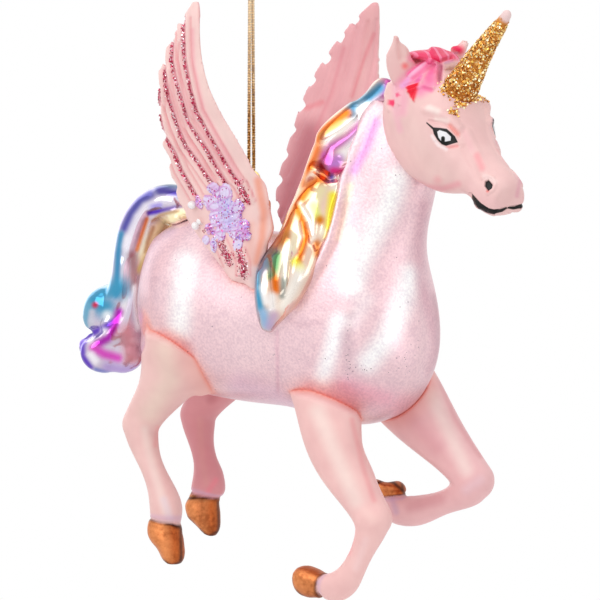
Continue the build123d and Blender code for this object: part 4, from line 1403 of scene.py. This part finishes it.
def headAxes():
    yaw = math.radians(headLook["yaw"])
    axes = np.array(((math.cos(yaw), -math.sin(yaw), 0), (math.sin(yaw), math.cos(yaw), 0), (0, 0, 1)))
    return axes, np.array(headLook["middle"])


def cheekPixels(places):
    axes, middle = headAxes()
    local = (places - middle) @ axes.T
    far = local[:, 1] > 0
    local[far, 2] -= local[far, 1] * headLook["roll"]
    local[far, 1] *= -1
    return seenAt(local @ axes + middle)


def refined(piece, areas, rounds):
    # Finer faces where a box of the near cheek, in pixels, asks for them
    bm = bmesh.new()
    bm.from_mesh(piece.data)
    for _ in range(rounds):
        bm.verts.ensure_lookup_table()
        x, y = cheekPixels(np.array([vertex.co for vertex in bm.verts])).T
        chosen = np.zeros(len(x), bool)
        for left, top, right, bottom in areas:
            chosen |= (x > left) & (x < right) & (y > top) & (y < bottom)
        edges = [edge for edge in bm.edges if chosen[edge.verts[0].index] and chosen[edge.verts[1].index]]
        bmesh.ops.subdivide_edges(bm, edges=edges, cuts=1, use_grid_fill=True)
        bmesh.ops.triangulate(bm, faces=[face for face in bm.faces if len(face.verts) > 4])
    bm.to_mesh(piece.data)
    bm.free()


def shapeHead(piece):
    # The forelock lies flatter between the ears, and the far ear shows its wide side.
    axes, middle = headAxes()
    local = (coordsOf(piece.data) - middle) @ axes.T
    above = np.maximum(local[:, 2] - headLook["forelockTop"], 0)
    between = 1 - step(np.abs(local[:, 1]), *headLook["forelockSide"])
    local[:, 2] -= above * headLook["forelockPress"] * between
    ear = step(local[:, 1], *headLook["farEarSide"]) * step(local[:, 2], *headLook["farEarFoot"])
    widened = (local[:, 0] - headLook["farEarMiddle"]) * (headLook["farEarWiden"] - 1) * ear
    local[:, 0] += widened + headLook["farEarForward"] * ear
    setCoords(piece.data, nudged(local @ axes + middle, headLook["nudges"]))
    smoothed(piece, 2)
    refined(piece, headLook["fine"], 2)


def makeHead():
    piece = evenCopy("headPiece", mergedCopy("head"), headLook["voxel"])
    shapeHead(piece)
    places, normals = coordsOf(piece.data), normalsOf(piece.data)
    pixels, direct = cheekPixels(places), seenAt(places)
    facing = facingCamera(normals, *headLook["facingEdge"])
    # Only skin that looks sideways or forwards takes the face's details.
    cheek = step(normals @ np.array((0.25, 0, 0)) + np.abs(normals[:, 1]), *headLook["cheekEdge"])
    shaped = carved(places, normals, pixels, headLook["cuts"], cheek)
    shaped = carved(shaped, normals, direct, headLook["locks"], facing)
    pit = insideOf(pixels, headLook["nostril"], 0.9)
    shaped = shaped - normals * (pit * cheek * headLook["nostrilDepth"])[:, None]
    # The strokes hold painted highlights and shade besides the face's paint.
    colors = brushed(plain(headLook["base"], len(places)), pixels, headLook["mirrored"], cheek)
    colors = brushed(colors, direct, headLook["facing"], facing)
    # The crown between the ears is crimson, with pale folds.
    axes, middle = headAxes()
    local = (places - middle) @ axes.T
    crown = step(local[:, 2], *headLook["crownFoot"]) * (1 - step(np.abs(local[:, 1]), *headLook["crownSide"]))
    colors = blended(colors, headLook["crownColor"], crown * headLook["crownStrength"])
    folds = step(np.sin(local[:, :2] / mm @ np.array(headLook["foldTurns"])), *headLook["foldEdge"])
    colors = blended(colors, headLook["foldColor"], crown * folds * headLook["foldStrength"])
    for outline, color in headLook["blots"]:
        colors = blended(colors, color, insideOf(pixels, outline, 1.5) * cheek)
    gloss = np.zeros(len(places))
    for outline in (headLook["liner"], headLook["nostril"], headLook["mouth"]):
        mask = insideOf(pixels, outline) * cheek
        colors = blended(colors, headLook["ink"], mask)
        gloss = np.maximum(gloss, mask * headLook["inkGloss"])
    colors = blended(colors, headLook["eyeWhite"], insideOf(pixels, headLook["white"]) * cheek)
    pupil = step(-nearLine(pixels, headLook["pupil"]), *headLook["pupilEdge"])
    colors = blended(colors, headLook["ink"], pupil * cheek)
    setCoords(piece.data, shaped)
    paintResin(piece, colors, gloss=gloss)
    return finishPiece(piece, "figure", [paintedResin], ["head"])


headTree = treeOf(makeHead().data)
print("head ready")

# Horn: resin cone under close-set gold flakes, with its blunt end left bare
hornLook = {
    "voxel": 0.35 * mm,
    "foot": (64.27 * mm, -5.41 * mm, -28.4 * mm),
    "way": (0.65, -0.16, 0.74),
    "bareFrom": 22.4 * mm,
    "bareEdge": 0.5 * mm,
    "nudges": [([(497, 16)], 46, 7, -6)],
    "underpaint": (206, 132, 56),
    "bareColor": (238, 208, 206),
    "flakeCount": 2600,
    "taper": 0.62,
    "strayReach": 1.6 * mm,
    "strayShare": 0.12,
    "rayStart": 9 * mm,
    "flakes": {
        "seed": 11,
        "radius": (0.17 * mm, 0.34 * mm),
        "thickness": 0.06 * mm,
        "tilt": 0.75,
        "lift": 0.10 * mm,
        "colors": [
            (206, 134, 62), (228, 158, 74), (242, 180, 92), (248, 200, 112), (255, 222, 150), (255, 238, 184),
            (178, 108, 44), (252, 206, 104), (255, 248, 206), (226, 150, 64),
        ],
    },
    "loose": [
        ([(442, 88), (452, 92), (463, 96), (476, 94)], 2.4, 8.0),
        ([(462, 98), (472, 98), (484, 97)], 2.2, 7.0),
        ([(455, 103), (466, 106)], 1.6, 5.0),
        ([(450, 111), (457, 113)], 1.6, 6.0),
        ([(484, 97), (489, 102)], 1.2, 3.0),
        ([(447, 98), (456, 102)], 1.4, 0.8),
    ],
}


def makeHorn():
    piece = evenCopy("hornPiece", mergedCopy("horn"), hornLook["voxel"])
    places = coordsOf(piece.data)
    foot, way = Vector(hornLook["foot"]), Vector(hornLook["way"]).normalized()
    along = (places - np.array(hornLook["foot"])) @ np.array(way)
    bare = step(along - hornLook["bareFrom"], -hornLook["bareEdge"], hornLook["bareEdge"])
    setCoords(piece.data, nudged(places, hornLook["nudges"]))
    colors = blended(plain(hornLook["underpaint"], len(places)), hornLook["bareColor"], bare)
    paintResin(piece, colors, copper=(1 - bare) * 0.5)
    finishPiece(piece, "figure", [paintedResin], ["horn"])
    chance = random.Random(hornLook["flakes"]["seed"])
    tree = treeOf(piece.data)
    side = way.orthogonal().normalized()
    other = way.cross(side)
    spots = []
    while len(spots) < hornLook["flakeCount"]:
        # More flakes where the cone is wide
        rise = chance.random()
        if chance.random() > 1 - hornLook["taper"] * rise:
            continue
        height = rise * (hornLook["bareFrom"] + hornLook["strayReach"])
        if height > hornLook["bareFrom"] and chance.random() > hornLook["strayShare"]:
            continue
        angle = chance.uniform(0, 2 * math.pi)
        out = side * math.cos(angle) + other * math.sin(angle)
        place, normal, _, _ = tree.ray_cast(foot + way * height + out * hornLook["rayStart"], -out)
        if place is not None:
            spots.append((place, normal))
    return spots


hornSpots = makeHorn() + pixelSpots(headTree, hornLook["loose"], 12)
glitterPiece("hornGlitter", hornSpots, hornLook["flakes"])
print("horn ready:", len(hornSpots), "flakes")

# Blown body: outer skin of the CAD body, with the spout's bore cut again after the remesh
bodyLook = {
    "voxel": 0.7 * mm,
    "spoutMiddle": 3.28 * mm,
    "spoutFoot": -85 * mm,
    "boreRadius": 2.9 * mm,
    "boreTop": -52 * mm,
    "boreDepth": 16 * mm,
    "base": (240, 206, 211),
    "seam": ((244, 158, 142), 0.9 * mm, 0.85),
    "seamHeight": 0.22 * mm,
    "glow": ((244, 184, 176), 4 * mm, 0.35),
    "straySpecks": 0.004,
    "nudges": [([(127, 246), (126, 272), (127, 300), (131, 328)], 30, 9, 0)],
    "strokes": [
        # The near-white strokes on the neck, shoulder, chest and rump are painted highlights.
        ([(200, 235), (230, 290), (250, 350)], 40, (244, 214, 218), 0.6),
        ([(240, 385), (290, 402), (340, 405)], 22, (236, 200, 218), 0.7),
        ([(396, 180), (388, 205), (372, 235), (358, 262), (352, 284)], 23, (255, 254, 252), 1.0),
        ([(350, 236), (349, 262), (353, 284)], 13, (255, 254, 252), 1.0),
        ([(410, 276), (399, 312), (386, 340), (368, 362)], 20, (255, 253, 252), 1.0),
        ([(366, 300), (352, 322)], 15, (248, 232, 234), 0.7),
        ([(338, 320), (331, 350), (322, 380)], 15, (255, 252, 252), 1.0),
        ([(186, 262), (182, 290), (179, 328)], 20, (255, 252, 250), 1.0),
        ([(158, 240), (150, 270), (152, 310)], 12, (222, 188, 198), 0.6),
        ([(200, 222), (214, 250), (222, 280)], 16, (232, 190, 198), 0.5),
        ([(277, 332), (278, 392)], 3, (222, 170, 186), 0.6),
        ([(284, 316), (300, 326), (318, 322)], 5, (206, 166, 178), 0.4),
        ([(346, 334), (352, 372)], 12, (214, 186, 194), 0.5),
        ([(345, 384), (385, 398)], 12, (238, 160, 182), 0.5),
        ([(375, 122), (366, 148), (354, 170)], 9, (228, 158, 224), 0.8),
        ([(350, 186), (345, 212), (338, 238)], 6, (252, 238, 190), 0.6),
        ([(190, 224), (166, 248), (150, 285), (143, 325)], 11, (226, 182, 188), 0.5),
        ([(252, 240), (262, 290)], 14, (238, 172, 164), 0.5),
        ([(345, 205), (338, 235), (322, 270), (296, 305)], 9, (238, 186, 182), 0.6),
        ([(350, 392), (395, 404)], 24, (240, 182, 196), 0.6),
    ],
    # Darker rose along the chest's outline on the near side, where the surface turns away: painted shade.
    "rim": [
        ([(424, 205), (419, 240), (421, 280), (431, 312), (438, 345), (432, 385), (408, 412)], 12, (214, 166, 178),
         0.6),
        ([(439, 296), (445, 335), (441, 378)], 11, (176, 118, 134), 0.7),
    ],
    "specks": [
        ([(347, 326), (347, 360)], 8, 0.35),
        ([(349, 372)], 12, 1.0),
        ([(366, 368)], 8, 0.5),
        ([(320, 352), (300, 360)], 14, 0.12),
        ([(275, 355)], 12, 0.12),
        ([(395, 372), (412, 350)], 14, 0.2),
    ],
    "cuts": [
        ([(422, 296), (429, 330), (424, 372)], 7, -0.5),
        ([(277, 326), (278, 396)], 2.5, -0.18),
    ],
    "maneBed": [
        ([(377, 104), (367, 116), (360, 134), (351, 158), (345, 176), (341, 196), (336, 218), (330, 240), (320, 262),
          (304, 287), (288, 308), (273, 326)], 8, 1.3),
        ([(352, 318), (352, 352), (348, 372)], 9, -0.4),
    ],
}


def makeBody():
    bm = mergedCopy("glass_body")
    # The wall of the bore comes out, which parts the outer skin from the inner one.
    inside = []
    for face in bm.faces:
        middle = face.calc_center_median()
        if middle.xy.length < bodyLook["spoutMiddle"] and middle.z > bodyLook["spoutFoot"]:
            inside.append(face)
    bmesh.ops.delete(bm, geom=inside, context="FACES")
    kept = connectedTo(max(bm.verts, key=lambda vertex: abs(vertex.co.y)))
    bmesh.ops.delete(bm, geom=[vertex for vertex in bm.verts if vertex not in kept], context="VERTS")
    rim = [edge for edge in bm.edges if edge.is_boundary]
    bmesh.ops.edgeloop_fill(bm, edges=rim)
    bmesh.ops.recalc_face_normals(bm, faces=bm.faces)
    stillOpen = sum(edge.is_boundary for edge in bm.edges)
    print("body skin: rim edges", len(rim), "still open", stillOpen, "volume", bm.calc_volume())
    piece = evenCopy("frostedBody", bm, bodyLook["voxel"])
    setCoords(piece.data, nudged(coordsOf(piece.data), bodyLook["nudges"]))
    places, normals = coordsOf(piece.data), normalsOf(piece.data)
    shaped = places
    for pixels, share in flankViews(places, normals):
        shaped = carved(shaped, normals, pixels, bodyLook["cuts"], share)
    near = facingCamera(normals, 0, 0.3)
    setCoords(piece.data, carved(shaped, normals, seenAt(places), bodyLook["maneBed"], near))
    return piece


def cutBore(piece):
    bm = bmesh.new()
    radius, depth = bodyLook["boreRadius"], bodyLook["boreDepth"]
    middle = Matrix.Translation((0, 0, bodyLook["boreTop"] - depth / 2))
    bmesh.ops.create_cone(bm, cap_ends=True, segments=40, radius1=radius, radius2=radius, depth=depth, matrix=middle)
    cutter = pieceFrom(bm, "boreCutter")
    cut = piece.modifiers.new("bore", "BOOLEAN")
    cut.operation = "DIFFERENCE"
    cut.solver = "EXACT"
    cut.object = cutter
    baked(piece)
    bpy.data.objects.remove(cutter)
    return piece


def paintBody(piece, seams):
    places, normals = coordsOf(piece.data), normalsOf(piece.data)
    views = flankViews(places, normals)
    base = plain(bodyLook["base"], len(places))
    colors = sum(brushed(base, pixels, bodyLook["strokes"]) * share[:, None] for pixels, share in views)
    # Painted shade along the chest's outline, on the near side only
    colors = brushed(colors, seenAt(places), bodyLook["rim"], facingCamera(normals, 0.02, 0.3))
    colors = banded(colors, seams, *bodyLook["seam"])
    colors = banded(colors, seams, *bodyLook["glow"])
    ridge = soft(seams, bodyLook["seam"][1]) * bodyLook["seamHeight"]
    setCoords(piece.data, places + normals * ridge[:, None])
    paint(piece, "colourAndPaintedLight", colors)
    specks = np.full(len(places), bodyLook["straySpecks"])
    for pixels, share in views:
        for line, reach, amount in bodyLook["specks"]:
            specks = np.maximum(specks, closeTo(pixels, line, reach) * amount * share)
    paintMask(piece, "specks", specks)


# Legs: what the four castings share
castLook = {
    "voxel": 0.45 * mm,
    "smoothing": 8,
    "sinkDepth": 7 * mm,
    "hoofRadius": 6 * mm,
    "hoofEnd": 1.3,
    "swell": ((0, 0.12, 0.4, 0.7, 0.88, 1.0), (0.90, 0.98, 1.06, 1.0, 0.84, 0.60)),
    "hoofEdge": (-0.03, 0.04),
    "lip": ((0.08, 0.10, 0.15), (-0.03, 0.06, -0.2)),  # place down the hoof, reach, height in mm
    # Bands of paint: colour, reach, strength
    "glow": ((248, 178, 166), 5 * mm, 0.45),
    "seam": ((240, 140, 122), 1 * mm, 0.8),
    "fetlock": ((214, 176, 204), 0.14, 0.5),
    "fetlockPlace": -0.12,
    "hoofTop": ((96, 50, 28), 0.12, 0.95),
    "copper": (190, 102, 52),
    "copperMetal": 0.8,
    "copperHighlight": (238, 156, 100),
    "copperHighlightEdge": (0.3, 0.9),
    "copperHighlightStrength": 0.7,
    "rimColor": (70, 36, 24),
}
# Each leg: top and sole of its hoof in mm, and its own tints, with painted highlights and painted shade among its
# strokes
legLook = {
    "right_fore": {
        "top": (32.08, -14.02, -143.41), "sole": (24.18, -14.02, -141.41), "stretch": 0.95, "lean": (0, 0, 0),
        "base": (245, 197, 193),
        "sink": [
            (270, 350), (390, 350), (390, 425), (362, 422), (357, 413), (335, 403), (312, 395), (287, 392),
            (270, 392),
        ],
        "nudges": [([(374, 424), (374, 440)], 34, -6, 0), ([(285, 592), (345, 604)], 40, 3, -8)],
        "rims": [
            ([(291, 568), (298, 561), (312, 559), (325, 563)], 3.4, 1.0),
            ([(290, 575), (292, 588), (303, 597)], 3, 0.7),
        ],
        # Pale strokes down the leg are painted highlights, darker pink ones along its edges painted shade.
        "strokes": [
            ([(318, 412), (336, 455), (356, 500)], 15, (248, 222, 214), 0.8),
            ([(352, 420), (364, 470), (374, 500)], 5, (242, 168, 168), 0.7),
            ([(366, 512), (372, 520)], 9, (247, 204, 198), 0.8),
            ([(352, 528), (348, 552)], 7, (246, 168, 172), 0.7),
            ([(366, 540), (356, 568)], 7, (246, 206, 204), 0.7),
            ([(312, 572), (316, 582)], 5, (206, 176, 204), 0.8),
        ],
    },
    "left_fore": {
        "top": (32.01, 11.98, -122.86), "sole": (31.11, 11.98, -116.86), "stretch": 0.8, "lean": (0, 0, 0),
        "base": (240, 190, 191),
        "sink": [],
        "nudges": [([(388, 476), (404, 480)], 16, 0, 6)],
        "rims": [([(376, 484), (384, 480), (393, 482), (402, 490)], 3, 0.9), ([(402, 484), (404, 494)], 3, 0.8)],
        # Pale strokes down the leg are painted highlights, darker pink ones along its edges painted shade.
        "strokes": [
            ([(432, 396), (448, 430), (466, 470)], 13, (245, 218, 212), 0.8),
            ([(408, 412), (436, 446)], 15, (222, 158, 166), 0.5),
            ([(440, 380), (456, 420), (480, 456)], 5, (226, 158, 162), 0.6),
            ([(480, 480), (466, 490)], 9, (240, 200, 206), 0.7),
            ([(440, 500), (410, 508)], 9, (222, 158, 164), 0.6),
            ([(392, 498), (396, 512)], 6, (206, 170, 196), 0.6),
        ],
    },
    "right_hind": {
        "top": (-15.46, -13.0, -129.28), "sole": (-16.0, -13.0, -138.1), "stretch": 1.14, "lean": (1.6, 0, 0),
        "base": (240, 196, 191),
        "sink": [
            (110, 270), (250, 270), (250, 398), (238, 391), (222, 378), (210, 366), (198, 357), (170, 341),
            (155, 334), (138, 332), (110, 332),
        ],
        "nudges": [
            ([(200, 372), (200, 388)], 22, 21, 2), ([(192, 404)], 12, 5, -6), ([(130, 318), (132, 342)], 18, 9, 0),
            ([(146, 560)], 26, 7, -8), ([(146, 528)], 16, -3, -5), ([(180, 528)], 12, 1, 4),
        ],
        "rims": [
            ([(147, 521), (153, 516), (164, 522), (179, 527)], 3.2, 1.0), ([(181, 528), (181, 560)], 3, 0.8),
            ([(146, 542), (158, 558), (172, 566), (181, 562)], 3, 0.8),
        ],
        # Pale strokes down the leg are painted highlights, darker pink ones along its edges painted shade.
        "strokes": [
            ([(165, 352), (170, 380), (150, 412)], 20, (240, 212, 198), 0.85),
            ([(145, 430), (150, 455), (160, 490), (166, 512)], 8, (244, 216, 208), 0.8),
            ([(158, 428), (156, 445)], 5, (242, 168, 166), 0.6),
            ([(164, 500), (170, 518)], 7, (232, 208, 214), 0.7),
        ],
    },
    "left_hind": {
        "top": (-23.71, 11.96, -124.69), "sole": (-25.03, 11.96, -131.59), "stretch": 1.40, "lean": (1.8, 0, 0),
        # The far hind leg's darker base is painted shade.
        "base": (224, 152, 157),
        "sink": [],
        "nudges": [([(184, 538)], 26, 7, -8), ([(184, 504)], 12, -3, -1), ([(214, 472), (216, 486)], 16, 4, 4)],
        "rims": [
            ([(183, 503), (188, 498), (202, 499), (216, 497)], 3, 1.0), ([(218, 502), (219, 530)], 3, 0.8),
            ([(184, 514), (196, 528), (208, 537), (218, 532)], 3, 0.8),
        ],
        # Its darker strokes are painted shade, the darkest where the leg meets the body.
        "strokes": [
            ([(225, 378), (212, 398)], 10, (196, 116, 124), 0.7),
            ([(200, 420), (202, 460), (206, 484)], 6, (226, 160, 158), 0.6),
            ([(216, 480), (208, 492)], 5, (240, 136, 150), 0.6),
        ],
    },
}


def hoofEnds(look):
    return (np.array(look[key]) * mm for key in ("top", "sole"))


def hoofMask(places, look):
    # Share of the way down the hoof: 0 at its top, 1 at its sole
    top, sole = hoofEnds(look)
    way = sole - top
    share = (places - top) @ way / np.linalg.norm(way) ** 2
    beside = np.linalg.norm(places - top - np.clip(share, -1, 2)[:, None] * way, axis=1)
    return np.where((beside < castLook["hoofRadius"]) & (share < castLook["hoofEnd"]), share, -9)


def shapeHoof(piece, look):
    # The plain cone of the CAD hoof swells below its rim and rounds off at the sole.
    places = coordsOf(piece.data)
    share = hoofMask(places, look)
    top, sole = hoofEnds(look)
    way = sole - top
    level = np.clip(share, 0, 1)
    swell = np.interp(level, *castLook["swell"])
    spread = top + level[:, None] * way + (places - top - share[:, None] * way) * swell[:, None]
    stretched = (level * (look["stretch"] - 1))[:, None] * way
    moved = spread + stretched + (level ** 2)[:, None] * np.array(look["lean"]) * mm
    shaped = np.where((share > 0)[:, None], moved + (share - level)[:, None] * way, places)
    setCoords(piece.data, shaped)
    return share


def makeLeg(which, bodyTree):
    look = legLook[which]
    side, pair = which.split("_")
    piece = evenCopy(side + pair.capitalize() + "Leg", mergedCopy(which + "_leg"), castLook["voxel"])
    share = shapeHoof(piece, look)
    places = nudged(coordsOf(piece.data), look["nudges"])
    if look["sink"]:
        # What stands above the seam line of the photograph goes into the body.
        hidden = insideOf(seenAt(places), look["sink"], 2.5)
        places = places - (hidden * castLook["sinkDepth"])[:, None] * backAxis
    setCoords(piece.data, places)
    smoothed(piece, castLook["smoothing"])
    places, normals = coordsOf(piece.data), normalsOf(piece.data)
    pixels = seenAt(places)
    hoof = step(share, *castLook["hoofEdge"])
    colors = brushed(plain(look["base"], len(places)), pixels, look["strokes"])
    seam = gapTo(bodyTree, places)
    colors = banded(colors, seam, *castLook["glow"])
    colors = banded(colors, seam, *castLook["seam"])
    colors = banded(colors, np.abs(share - castLook["fetlockPlace"]), *castLook["fetlock"])
    # Painted highlight: the hoof's side towards the near flank is lighter copper.
    lit = step(-normals[:, 1], *castLook["copperHighlightEdge"]) * castLook["copperHighlightStrength"]
    copper = blended(plain(castLook["copper"], len(places)), castLook["copperHighlight"], lit)
    copper = banded(copper, np.abs(share), *castLook["hoofTop"])
    rims = [(line, reach, castLook["rimColor"], strength) for line, reach, strength in look["rims"]]
    copper = brushed(copper, pixels, rims)
    lip = sum(soft(np.abs(share - place), reach) * height for place, reach, height in castLook["lip"])
    setCoords(piece.data, places + normals * (lip * mm)[:, None])
    colors = colors * (1 - hoof)[:, None] + copper * hoof[:, None]
    paintResin(piece, colors, copper=hoof * castLook["copperMetal"])
    return finishPiece(piece, "figure", [paintedResin], [which + "_leg"])


frostedBody = cutBore(makeBody())
bodyTree = treeOf(frostedBody.data)
legs = [makeLeg(which, bodyTree) for which in legLook]
bodyPlaces = coordsOf(frostedBody.data)
seams = np.min([gapTo(treeOf(joined.data), bodyPlaces) for joined in legs + [rightWing, leftWing]], axis=0)
paintBody(frostedBody, seams)
finishPiece(frostedBody, "figure", [frostedGlass], ["glass_body"])
print("body and legs ready")

bpy.context.scene.view_settings.view_transform = "Standard"
bpy.context.view_layer.update()
